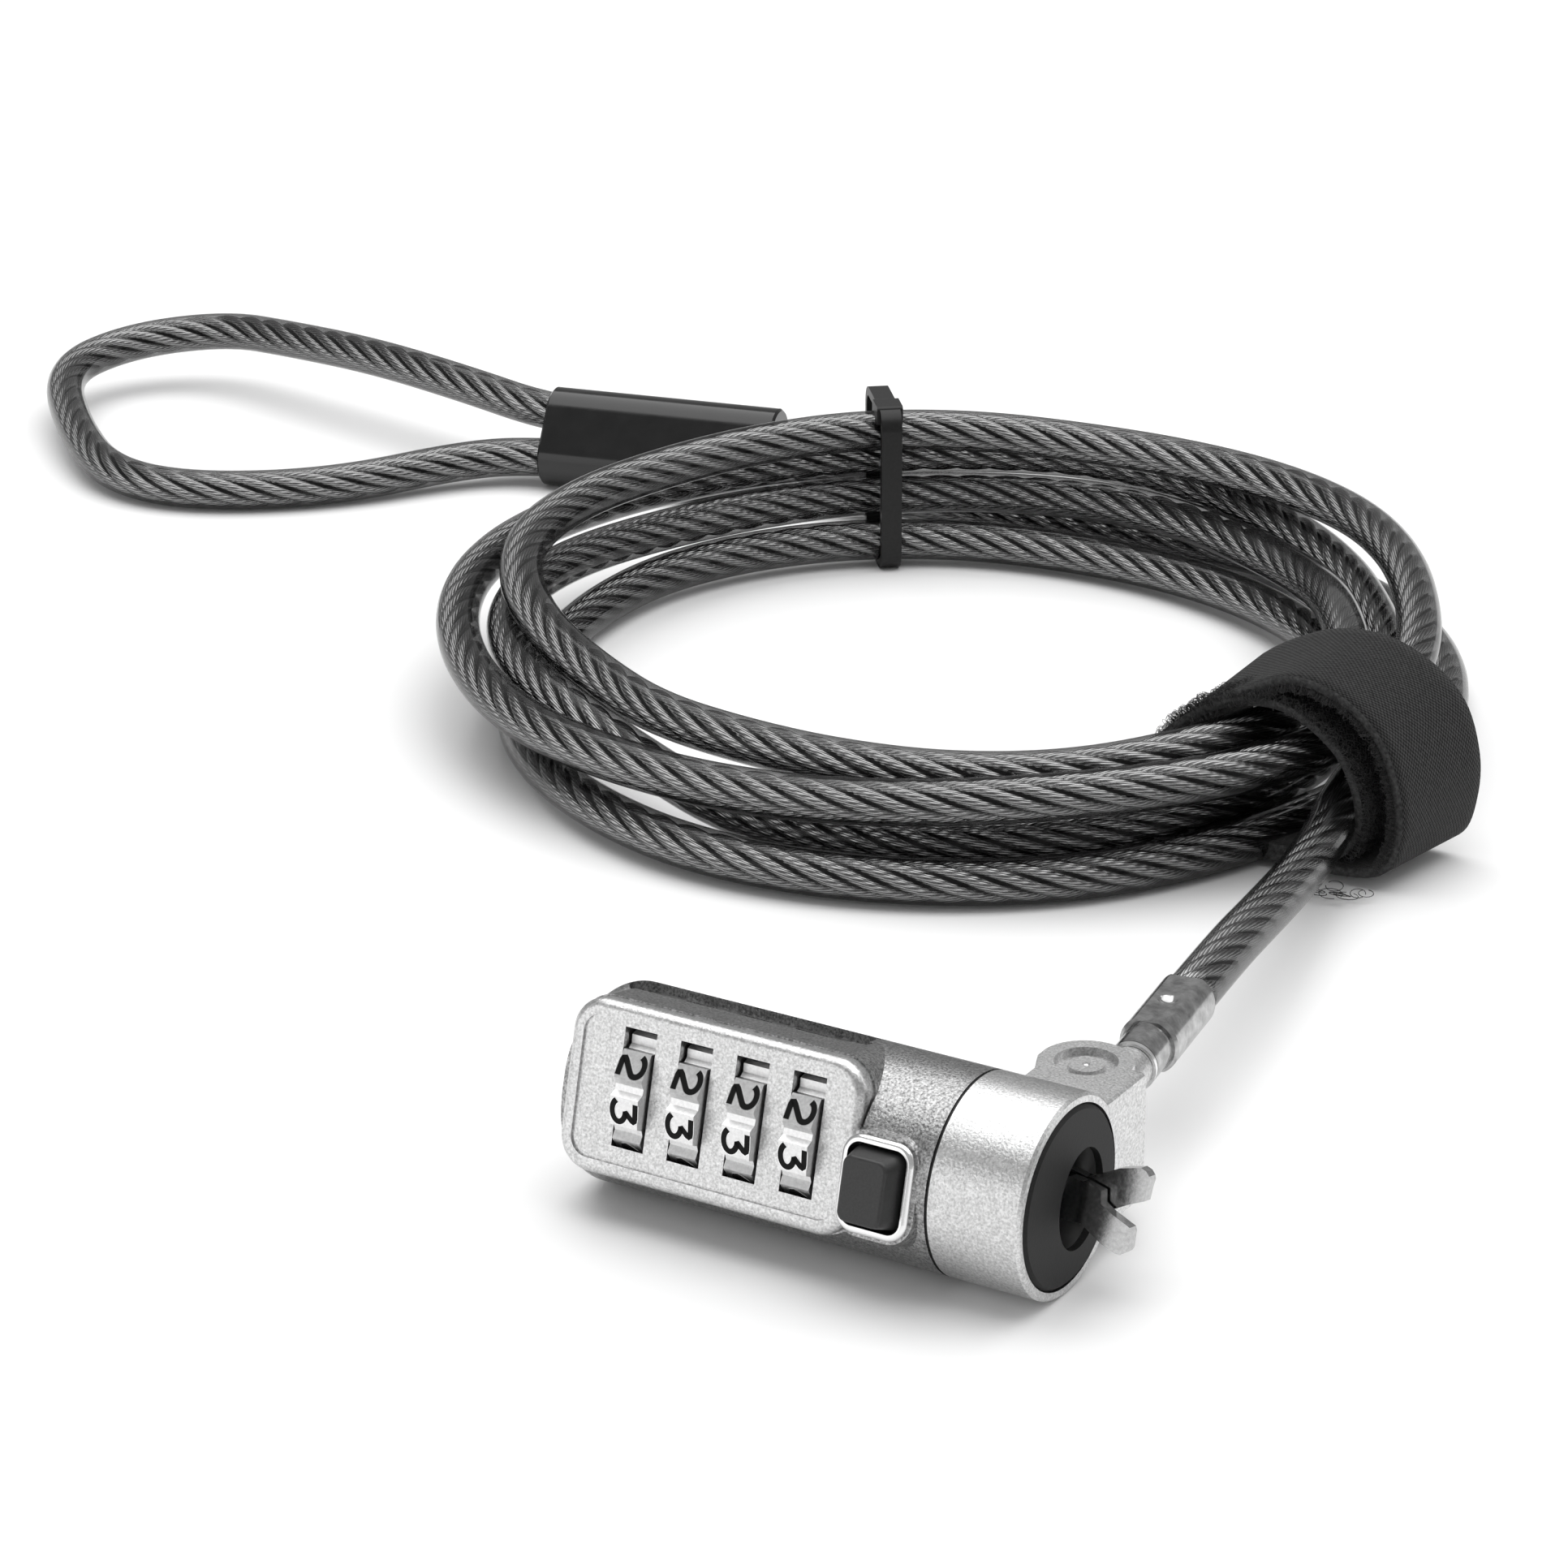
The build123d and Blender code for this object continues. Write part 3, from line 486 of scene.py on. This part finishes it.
def strand_material():
    """Bright steel strands, each of fine wires that run nearly along the cable, with painted shade
    darkening the valleys between the wires.
    """
    material, tree, shader = new_material(
        "rope_steel", Metallic=1.0, Base_Color=grey(0.8), Roughness=0.24)
    coordinates = add_node(tree, "ShaderNodeUVMap", uv_map="along_round")
    split = add_node(tree, "ShaderNodeSeparateXYZ")
    tree.links.new(coordinates.outputs["UV"], split.inputs["Vector"])
    along = add_node(tree, "ShaderNodeMath", operation="MULTIPLY")
    along.inputs[1].default_value = STRAND_WIRES / WIRE_LAY
    tree.links.new(split.outputs["X"], along.inputs[0])
    around = add_node(tree, "ShaderNodeMath", operation="MULTIPLY_ADD")
    around.inputs[1].default_value = STRAND_WIRES
    tree.links.new(split.outputs["Y"], around.inputs[0])
    tree.links.new(along.outputs["Value"], around.inputs[2])
    wires = add_node(tree, "ShaderNodeMath", operation="PINGPONG")
    wires.inputs[1].default_value = 0.5
    tree.links.new(around.outputs["Value"], wires.inputs[0])
    height = spread(tree, wires.outputs["Value"], 0.0, 2.0)
    add_bump(tree, shader, height.outputs["Result"], 0.6, 0.00006)
    # Painted shade: the base colour goes dark in the valleys between the wires, where the bump is
    # lowest.
    tone = ramp(tree, wires.outputs["Value"], 0.04, 0.3, grey(0.14), grey(0.86))
    tree.links.new(tone.outputs["Color"], shader.inputs["Base Color"])
    return material


# ---- the cable --------------------------------------------------------------
CABLE_SIDES = 20
STRAND_COUNT = 6
STRAND_LAY = 25.0        # millimetres for one turn of a strand
STRAND_R = 0.62
STRAND_RING_R = 1.6
STRAND_SIDES = 8
CORE_R = 1.45
STRAND_WIRES = 12
WIRE_LAY = 12.6          # millimetres for one turn of a strand's wires


def make_jacket(frames):
    vertices, faces = tube_mesh(frames, CABLE_D / 2 * MM, CABLE_SIDES)
    return new_object("cable_jacket", vertices, faces, jacket_material())


def make_strands(line, frames):
    """Six right-hand strands round a core, as one mesh."""
    lengths = running_lengths(line)
    vertices = []
    faces = []
    for strand in range(STRAND_COUNT):
        centres = []
        for (point, _tangent, side, up), length in zip(frames, lengths):
            angle = 2 * math.pi * (strand / STRAND_COUNT + length / STRAND_LAY)
            centres.append(point + (side * math.cos(angle) + up * math.sin(angle)) * STRAND_RING_R * MM)
        append_mesh(vertices, faces, *tube_mesh(frames_along(centres), STRAND_R * MM, STRAND_SIDES))
    piece = new_object("cable_strands", vertices, faces, strand_material())
    strand_uv(piece.data, len(line), lengths)
    return piece


def make_core(frames):
    """The core that the strands lie on; its near-black colour is painted shade in the gaps between the
    strands.
    """
    # Painted shade: the core's near-black colour darkens the gaps between the strands.
    material, tree, shader = new_material("rope_core", Base_Color=grey(0.01), Roughness=0.8)
    drive(tree, shader, add_noise(tree, 2000, 3.0, 0.6), bump=(0.5, 0.0001))
    vertices, faces = tube_mesh(frames, CORE_R * MM, STRAND_SIDES)
    return new_object("cable_core", vertices, faces, material)


def strand_uv(mesh, ring_count, lengths):
    """UV of the strands: millimetres along the cable, and turns round the strand."""
    layer = mesh.uv_layers.new(name="along_round")
    per_strand = ring_count * STRAND_SIDES
    for polygon in mesh.polygons:
        spots = [divmod(index % per_strand, STRAND_SIDES) for index in polygon.vertices]
        turns = [turn for _ring, turn in spots]
        wraps = len(turns) == 4 and 0 in turns and STRAND_SIDES - 1 in turns
        for loop, (ring, turn) in zip(polygon.loop_indices, spots):
            if wraps and turn == 0:
                turn = STRAND_SIDES
            layer.data[loop].uv = (lengths[ring], turn / STRAND_SIDES)


def make_cable(strap):
    """The jacket, strands and core along one line."""
    line = nurbs_line(cable_route(), ROUTE_RESOLUTION)
    frames = frames_along(line)
    jacket = make_jacket(frames)
    strands = make_strands(line, frames)
    core = make_core(frames)
    for piece in (jacket, strands, core):
        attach(piece, "cable")
    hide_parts("cable_lead", "cable_coil", "cable_tail", "cable_loop")
    length = line_length(line)
    [tuple(p) for p in line]


# ---- digits on the dials ----------------------------------------------------
HEAD_ROLL = math.radians(14.6)
HEAD_U = Vector((0.0, -math.cos(HEAD_ROLL), math.sin(HEAD_ROLL)))   # out of the panel
HEAD_V = Vector((0.0, math.sin(HEAD_ROLL), math.cos(HEAD_ROLL)))    # up the panel
HEAD_X = Vector((1.0, 0.0, 0.0))
WHEEL_U = 3.25
WHEEL_V = 1.0
WHEEL_R = 6.95
PAD_HALF = math.radians(11.3)
FACING_DIGIT = math.radians(-10.4)
FACING_NUMBER = 3
DIGITS = 10
DIGIT_STEP = math.radians(360 / DIGITS)
DIGIT_SIZE = (2.1, 2.4)
DIGIT_STROKE = 0.54
RIM_STROKE = 0.66
# Heights of the black filling and of the rim round it, over the pad.
DIGIT_HEIGHTS = (0.0, 0.03)
RIM_HEIGHTS = (-0.01, 0.02)
WHEELS = (1, 2, 3, 4)


def arc(cx, cy, rx, ry, start, stop, steps=12):
    points = []
    for index in range(steps + 1):
        angle = math.radians(start + (stop - start) * index / steps)
        points.append((cx + rx * math.cos(angle), cy + ry * math.sin(angle)))
    return points


# Each digit's strokes in a box from (0, 0) to (1, 1).
GLYPHS = (
    (arc(0.5, 0.5, 0.5, 0.5, 90, 450, 24),),
    ([(0.15, 0.75), (0.55, 1.0), (0.55, 0.0)],),
    (arc(0.5, 0.7, 0.46, 0.3, 165, -35) + [(0.02, 0.0), (1.0, 0.0)],),
    ([(0.04, 1.0), (0.94, 1.0), (0.46, 0.58)] + arc(0.45, 0.29, 0.5, 0.29, 88, -155),),
    ([(0.74, 0.0), (0.74, 1.0), (0.0, 0.3), (1.0, 0.3)],),
    ([(0.92, 1.0), (0.16, 1.0), (0.1, 0.54)] + arc(0.46, 0.31, 0.5, 0.31, 120, -155),),
    ([(0.78, 1.0)] + arc(0.5, 0.31, 0.46, 0.31, 155, -205, 20),),
    ([(0.02, 1.0), (0.98, 1.0), (0.36, 0.0)],),
    (arc(0.5, 0.76, 0.36, 0.24, -90, 270, 20), arc(0.5, 0.27, 0.46, 0.27, 90, 450, 20)),
    ([(0.22, 0.0)] + arc(0.5, 0.69, 0.46, 0.31, -25, 335, 20),),
)


def soften(points, rounds=2):
    """Cuts the corners of a stroke."""
    for _ in range(rounds):
        cut = [points[0]]
        for (ax, ay), (bx, by) in zip(points, points[1:]):
            cut.append((ax * 0.8 + bx * 0.2, ay * 0.8 + by * 0.2))
            cut.append((ax * 0.2 + bx * 0.8, ay * 0.2 + by * 0.8))
        cut.append(points[-1])
        points = cut
    return points


def stroke_mesh(points, width, low, high, to_space):
    """A flat ribbon along a stroke, from height low to high above the pad."""
    vertices = []
    count = len(points)
    for index, (x, y) in enumerate(points):
        ahead = points[min(index + 1, count - 1)]
        behind = points[max(index - 1, 0)]
        dx = ahead[0] - behind[0]
        dy = ahead[1] - behind[1]
        span = math.hypot(dx, dy)
        side = (-dy / span * width / 2, dx / span * width / 2)
        for sign, height in ((-1, low), (-1, high), (1, high), (1, low)):
            vertices.append(to_space(x + side[0] * sign, y + side[1] * sign, height))
    faces = []
    for ring in range(count - 1):
        for k in range(4):
            a = ring * 4 + k
            b = ring * 4 + (k + 1) % 4
            faces.append((a, b, b + 4, a + 4))
    faces.append((3, 2, 1, 0))
    last = (count - 1) * 4
    faces.append((last, last + 1, last + 2, last + 3))
    return vertices, faces


def pad_space(wheel_x, angle):
    """Turns a digit's own right, up and height into space, on the pad at an angle."""
    outward = HEAD_U * math.cos(angle) + HEAD_V * math.sin(angle)
    around = HEAD_V * math.cos(angle) - HEAD_U * math.sin(angle)
    axle = HEAD_U * WHEEL_U + HEAD_V * WHEEL_V + HEAD_X * wheel_x
    middle = axle + outward * WHEEL_R * math.cos(PAD_HALF) + Vector((0, 0, AXIS_HEIGHT))

    def to_space(right, up, height):
        return place(*(middle - around * right + HEAD_X * up + outward * height))
    return to_space


def wheel_digits(wheel_x, width, heights):
    """The ribbons of all the digits round one dial."""
    vertices = []
    faces = []
    for pad in range(DIGITS):
        to_space = pad_space(wheel_x, FACING_DIGIT + pad * DIGIT_STEP)
        for stroke in GLYPHS[(FACING_NUMBER - pad) % DIGITS]:
            sized = [((x - 0.5) * DIGIT_SIZE[0], (y - 0.5) * DIGIT_SIZE[1]) for x, y in soften(stroke)]
            append_mesh(vertices, faces, *stroke_mesh(sized, width, *heights, to_space))
    return vertices, faces


def make_digits():
    black = digit_material()
    bright = polished_material()
    for wheel in WHEELS:
        low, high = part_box(f"number_wheel_{wheel}")
        wheel_x = ((low[0] + high[0]) / 2 - ORIGIN.x) / MM
        for name, width, heights, material in (
            ("digits", DIGIT_STROKE, DIGIT_HEIGHTS, black),
            ("digit_rims", RIM_STROKE, RIM_HEIGHTS, bright),
        ):
            vertices, faces = wheel_digits(wheel_x, width, heights)
            piece = new_object(f"{name}_{wheel}", vertices, faces, material, smooth=False)
            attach(piece, f"dial_{wheel}")


# ---- strap ------------------------------------------------------------------
STRAP_FRONT_Y = 94.0
STRAP_BACK_Y = 108.0
STRAP_THICKNESS = 1.0
STRAP_COLUMNS = 10
STRAP_STEPS = 6
WOVEN, PILE, EDGE = 0, 1, 2     # the strap's material slots
WEAVE_PITCHES = (("X", 0.62), ("Y", 0.46))
WEAVE_SHARE = 0.35              # of the weave in its mix with noise
FUZZ_SEED = 11
# For each layer of the pile: its first and last strap row, and its number of fibres.
FUZZ_LAYERS = (
    ("inner", 2, 10, 1900),
    ("outer", 14, 22, 2300),
)
FUZZ_COLUMNS = 3.0
FUZZ_LENGTH = (0.8, 2.0)
FUZZ_R = 0.028
FUZZ_SIDES = 3
CURL_POINTS = 6
THREAD_SEED = 5
THREAD_COUNT = 13
THREAD_START = (-21.6, 90.6, 0.9)
THREAD_PITCH = 0.62
THREAD_LOOP_R = (0.8, 1.3)
THREAD_POINTS = 15
THREAD_ARC = 5.6
THREAD_R = 0.045
THREAD_SIDES = 4
# The strap's outer face, wound twice: x and z of its front edge, then of its back edge.
STRAP_ROWS = (
    (-31.0, 2.2, -29.0, 2.2),
    (-21.5, 2.1, -19.0, 2.1),
    (-17.6, 3.6, -15.2, 3.8),
    (-16.0, 8.0, -13.6, 8.6),
    (-17.8, 13.4, -15.4, 14.6),
    (-21.4, 16.9, -18.8, 18.8),
    (-26.4, 18.9, -24.2, 21.0),
    (-32.8, 17.8, -30.0, 20.4),
    (-38.6, 13.6, -35.0, 16.6),
    (-41.2, 8.0, -36.6, 9.5),
    (-40.2, 2.4, -35.6, 2.6),
    (-36.0, 1.05, -32.0, 1.05),
    (-26.0, 1.05, -23.0, 1.05),
    (-17.5, 1.05, -14.5, 1.05),
    (-13.2, 2.4, -10.6, 2.6),
    (-11.6, 6.5, -9.2, 6.8),
    (-12.0, 11.6, -9.2, 11.8),
    (-14.4, 17.2, -11.2, 17.4),
    (-19.2, 21.0, -15.6, 21.2),
    (-25.4, 21.9, -21.4, 23.0),
    (-32.4, 18.3, -28.2, 21.9),
    (-39.2, 13.2, -35.6, 17.2),
    (-42.5, 8.0, -38.0, 11.0),
    (-42.6, 4.0, -38.0, 5.5),
)


def smooth_rows(rows, steps):
    """More rows on a smooth curve through the given ones."""
    result = []
    last = len(rows) - 1
    for index in range(last):
        p0 = rows[max(index - 1, 0)]
        p1 = rows[index]
        p2 = rows[index + 1]
        p3 = rows[min(index + 2, last)]
        for step in range(steps):
            t = step / steps
            weights = (
                (-t ** 3 + 2 * t ** 2 - t) / 2,
                (3 * t ** 3 - 5 * t ** 2 + 2) / 2,
                (-3 * t ** 3 + 4 * t ** 2 + t) / 2,
                (t ** 3 - t ** 2) / 2,
            )
            near = (p0, p1, p2, p3)
            result.append(tuple(sum(w * p[k] for w, p in zip(weights, near)) for k in range(4)))
    result.append(rows[-1])
    return result


def strap_grid():
    """Points of the strap's outer face, and its outward normals, row by row."""
    rows = smooth_rows(STRAP_ROWS, STRAP_STEPS)
    grid = []
    for fx, fz, bx, bz in rows:
        line = []
        for column in range(STRAP_COLUMNS + 1):
            share = column / STRAP_COLUMNS
            y = STRAP_FRONT_Y + (STRAP_BACK_Y - STRAP_FRONT_Y) * share
            line.append(Vector((fx + (bx - fx) * share, y, fz + (bz - fz) * share)))
        grid.append(line)
    normals = []
    for index, line in enumerate(grid):
        ahead = grid[min(index + 1, len(grid) - 1)]
        behind = grid[max(index - 1, 0)]
        normals.append([
            (line[-1] - line[0]).cross(a - b).normalized()
            for a, b in zip(ahead, behind)
        ])
    return grid, normals


def woven_material():
    """Black webbing: rows of fine ribs, each of short stitches."""
    material, tree, shader = new_material(
        "strap_woven", Base_Color=grey(0.02), Roughness=0.85, Specular_IOR_Level=0.25,
        Sheen_Weight=0.06, Sheen_Roughness=0.5)
    coordinates = add_node(tree, "ShaderNodeUVMap", uv_map="flat")
    split = add_node(tree, "ShaderNodeSeparateXYZ")
    tree.links.new(coordinates.outputs["UV"], split.inputs["Vector"])
    waves = []
    for axis, pitch in WEAVE_PITCHES:
        scaled = add_node(tree, "ShaderNodeMath", operation="MULTIPLY")
        scaled.inputs[1].default_value = 2 * math.pi / pitch
        tree.links.new(split.outputs[axis], scaled.inputs[0])
        wave = add_node(tree, "ShaderNodeMath", operation="SINE")
        tree.links.new(scaled.outputs["Value"], wave.inputs[0])
        waves.append(wave)
    weave = add_node(tree, "ShaderNodeMath", operation="MULTIPLY")
    tree.links.new(waves[0].outputs["Value"], weave.inputs[0])
    tree.links.new(waves[1].outputs["Value"], weave.inputs[1])
    noise = add_noise(tree, 2600, 4.0, 0.7)
    mixed = add_node(tree, "ShaderNodeMath", operation="MULTIPLY_ADD")
    mixed.inputs[1].default_value = WEAVE_SHARE
    tree.links.new(weave.outputs["Value"], mixed.inputs[0])
    tree.links.new(noise.outputs["Fac"], mixed.inputs[2])
    tone = ramp(tree, mixed.outputs["Value"], 0.3, 0.8, grey(0.002), grey(0.04))
    tree.links.new(tone.outputs["Color"], shader.inputs["Base Color"])
    add_bump(tree, shader, mixed.outputs["Value"], 1.0, 0.0002)
    return material


def pile_material():
    """The fuzzy loop side of the strap and its fibres."""
    material, tree, shader = new_material(
        "strap_pile", Base_Color=grey(0.012), Roughness=0.9, Specular_IOR_Level=0.2, Sheen_Weight=0.2)
    drive(tree, shader, add_noise(tree, 1700, 6.0, 0.8), tones=(0.35, 0.7, 0.003, 0.035),
          bump=(1.0, 0.0003))
    return material


def selvedge_material():
    """The strap's cut edges, a little lighter than its faces."""
    material, tree, shader = new_material("strap_edge", Base_Color=grey(0.06), Roughness=0.85)
    drive(tree, shader, add_noise(tree, 2200, 4.0, 0.7), tones=(0.35, 0.7, 0.008, 0.06),
          bump=(0.8, 0.0001))
    return material


def strap_faces(rows):
    """The band's faces, and the material slot of each."""
    inner = STRAP_COLUMNS + 1
    per_row = 2 * inner
    faces = []
    kinds = []
    for row in range(rows - 1):
        a = row * per_row
        b = a + per_row
        for k in range(STRAP_COLUMNS):
            faces.append((a + k, a + k + 1, b + k + 1, b + k))
            faces.append((a + inner + k, b + inner + k, b + inner + k + 1, a + inner + k + 1))
            kinds.extend((WOVEN, PILE))
        right_a = a + STRAP_COLUMNS
        right_b = b + STRAP_COLUMNS
        faces.append((a, b, b + inner, a + inner))
        faces.append((right_a, right_a + inner, right_b + inner, right_b))
        kinds.extend((EDGE, EDGE))
    last = (rows - 1) * per_row
    for k in range(STRAP_COLUMNS):
        faces.append((k, inner + k, inner + k + 1, k + 1))
        faces.append((last + k, last + k + 1, last + inner + k + 1, last + inner + k))
        kinds.extend((EDGE, EDGE))
    return faces, kinds


def make_strap(grid, normals):
    """A closed band: woven outside, pile inside. Also gives its flat length and width."""
    vertices = []
    for line, line_normals in zip(grid, normals):
        for point in line:
            vertices.append(place(*point))
        for point, normal in zip(line, line_normals):
            vertices.append(place(*(point - normal * STRAP_THICKNESS)))
    faces, kinds = strap_faces(len(grid))
    strap = new_object("strap", vertices, faces, woven_material())
    strap.data.materials.append(pile_material())
    strap.data.materials.append(selvedge_material())
    middle = STRAP_COLUMNS // 2
    lengths = [0.0]
    for a, b in zip(grid, grid[1:]):
        lengths.append(lengths[-1] + (b[middle] - a[middle]).length)
    width = (grid[0][-1] - grid[0][0]).length
    layer = strap.data.uv_layers.new(name="flat")
    for polygon, kind in zip(strap.data.polygons, kinds):
        polygon.material_index = kind
        for loop in polygon.loop_indices:
            row, column = divmod(strap.data.loops[loop].vertex_index, 2 * (STRAP_COLUMNS + 1))
            layer.data[loop].uv = (lengths[row], column % (STRAP_COLUMNS + 1) / STRAP_COLUMNS * width)
    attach(strap, "cable")
    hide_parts("hook_loop_strap")
    return strap, lengths[-1] * MM, width * MM


def curl(root, outward, along, length, rng):
    """A fibre's points: a small arch that leaves the surface and comes back."""
    side = outward.cross(along).normalized()
    lean = rng.uniform(0, 2 * math.pi)
    drift = along * math.cos(lean) + side * math.sin(lean)
    points = []
    for index in range(CURL_POINTS):
        angle = math.pi * index / (CURL_POINTS - 1) * rng.uniform(0.9, 1.1)
        across = drift * (1 - math.cos(angle)) * length * 0.3
        points.append(root + across + outward * math.sin(angle) * length * 0.5)
    return points


def make_fuzz(grid, normals, material):
    """Fibres of the pile, where the strap's two layers face each other."""
    rng = random.Random(FUZZ_SEED)
    vertices = []
    faces = []
    for layer, start, stop, count in FUZZ_LAYERS:
        for _ in range(count):
            row = rng.randrange(start * STRAP_STEPS, stop * STRAP_STEPS)
            column = rng.random() ** 2 * FUZZ_COLUMNS
            k = int(column)
            blend = column - k
            point = grid[row][k].lerp(grid[row][k + 1], blend)
            point = point.lerp(grid[row + 1][k].lerp(grid[row + 1][k + 1], blend), rng.random())
            normal = normals[row][k]
            along = (grid[row + 1][k] - grid[row][k]).normalized()
            if layer == "outer":
                point = point - normal * STRAP_THICKNESS
                normal = -normal
            lean = (normal + Vector((0, -1, 0)) * rng.uniform(0, 0.6)).normalized()
            points = [place(*p) for p in curl(point, lean, along, rng.uniform(*FUZZ_LENGTH), rng)]
            append_mesh(vertices, faces, *tube_mesh(frames_along(points), FUZZ_R * MM, FUZZ_SIDES))
    fuzz = new_object("strap_fuzz", vertices, faces, material)
    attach(fuzz, "cable")
    return fuzz


def make_threads(material):
    """Loose thread loops that hang out of the strap's lower edge."""
    rng = random.Random(THREAD_SEED)
    vertices = []
    faces = []
    x, y, z = THREAD_START
    for index in range(THREAD_COUNT):
        across = x + index * THREAD_PITCH + rng.uniform(-0.2, 0.2)
        middle = Vector((across, y + rng.uniform(-1.8, 1.2), z))
        radius = rng.uniform(*THREAD_LOOP_R)
        tilt = rng.uniform(-0.5, 0.5)
        start = rng.uniform(0, 2 * math.pi)
        points = []
        for step in range(THREAD_POINTS):
            angle = start + step / (THREAD_POINTS - 1) * THREAD_ARC
            points.append(place(
                middle.x + radius * math.cos(angle),
                middle.y + radius * math.sin(angle) * 0.8,
                middle.z + radius * math.sin(angle) * tilt * 0.6,
            ))
        append_mesh(vertices, faces, *tube_mesh(frames_along(points), THREAD_R * MM, THREAD_SIDES))
    threads = new_object("strap_threads", vertices, faces, material)
    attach(threads, "cable")
    return threads


def make_strap_pieces():
    grid, normals = strap_grid()
    strap, length, width = make_strap(grid, normals)
    pile = strap.data.materials[PILE]
    fuzz = make_fuzz(grid, normals, pile)
    threads = make_threads(selvedge_material())
    return strap


# ---- run --------------------------------------------------------------------
make_camera()
make_cable(make_strap_pieces())
make_digits()


# ---- stage and light --------------------------------------------------------
FLOOR_HALF = 3.0
FLOOR_SINK = 0.00002
WORLD_STRENGTH = 0.4
LIGHT_TARGET = (-60, 60, 0)
# Name, place, size in metres and power in watts.
LIGHTS = (
    ("top_box", (-100, 250, 1100), (1.7, 1.5), 18.0),
    ("front_box", (-560, -760, 230), (0.75, 0.5), 1.3),
    ("rim_box", (700, 500, 420), (0.25, 0.9), 1.0),
)


def make_floor():
    corners = ((-1, -1), (1, -1), (1, 1), (-1, 1))
    vertices = [Vector((x * FLOOR_HALF, y * FLOOR_HALF, -FLOOR_SINK)) for x, y in corners]
    material, _tree, _shader = new_material("floor", Base_Color=grey(0.93), Roughness=0.6)
    floor = new_object("floor", vertices, [(0, 1, 2, 3)], material, smooth=False)


def area_light(name, location, target, size, power):
    data = bpy.data.lights.new(name, "AREA")
    data.shape = "RECTANGLE"
    data.size = size[0]
    data.size_y = size[1]
    data.energy = power
    lamp = bpy.data.objects.new(name, data)
    bpy.context.collection.objects.link(lamp)
    lamp.location = location
    lamp.rotation_euler = (location - target).to_track_quat("Z", "Y").to_euler()


def make_light():
    world = bpy.data.worlds.new("studio")
    bpy.context.scene.world = world
    world.use_nodes = True
    background = world.node_tree.nodes["Background"]
    background.inputs["Color"].default_value = (1.0, 1.0, 1.0, 1.0)
    background.inputs["Strength"].default_value = WORLD_STRENGTH
    for name, location, size, power in LIGHTS:
        area_light(name, place(*location), place(*LIGHT_TARGET), size, power)
    bpy.context.scene.view_settings.view_transform = "Standard"


def dress(nodes, material):
    """Gives CAD nodes their material."""
    for name in nodes:
        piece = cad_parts[name]
        for slot in piece.material_slots:
            slot.material = material


def dress_head():
    satin = satin_material("satin_nickel", 0.42, 0.78)
    cast = satin_material("cast_nickel", 0.12, 0.52)
    polished = polished_material()
    inner = steel_material()
    dress(["number_panel", "collar_ring", "front_flange", "rivet_pin", "swivel_eye"], satin)
    dress(["body_casting"], cast)
    dress(["button_bezel", "swivel_washer"], polished)
    dress([f"number_wheel_{k}" for k in WHEELS], wheel_material())
    dress([f"clutch_sleeve_{k}" for k in WHEELS], inner)
    dress(["wheel_spindle", "wheel_spacers", "detent_spring", "button_spring", "cam_slide",
           "hook_pivot_pin", "nose_tube", "reset_screw"], inner)
    dress(["hook_lower", "hook_upper"], hook_material())
    dress(["ferrule"], ferrule_material())
    dress(["push_button"], plastic_material("button_black", 0.018, 0.42, 5000, 0.00002))
    dress(["face_ring"], plastic_material("face_rubber", 0.013, 0.55, 3500, 0.00004, 0.2))
    dress(["seam_washer", "cable_tie"], plastic_material("black_nylon", 0.008, 0.38, 2500, 0.00002, 0.3))
    dress(["loop_sleeve"], plastic_material("sleeve_gloss", 0.006, 0.14, 400, 0.00001))


make_floor()
make_light()
dress_head()
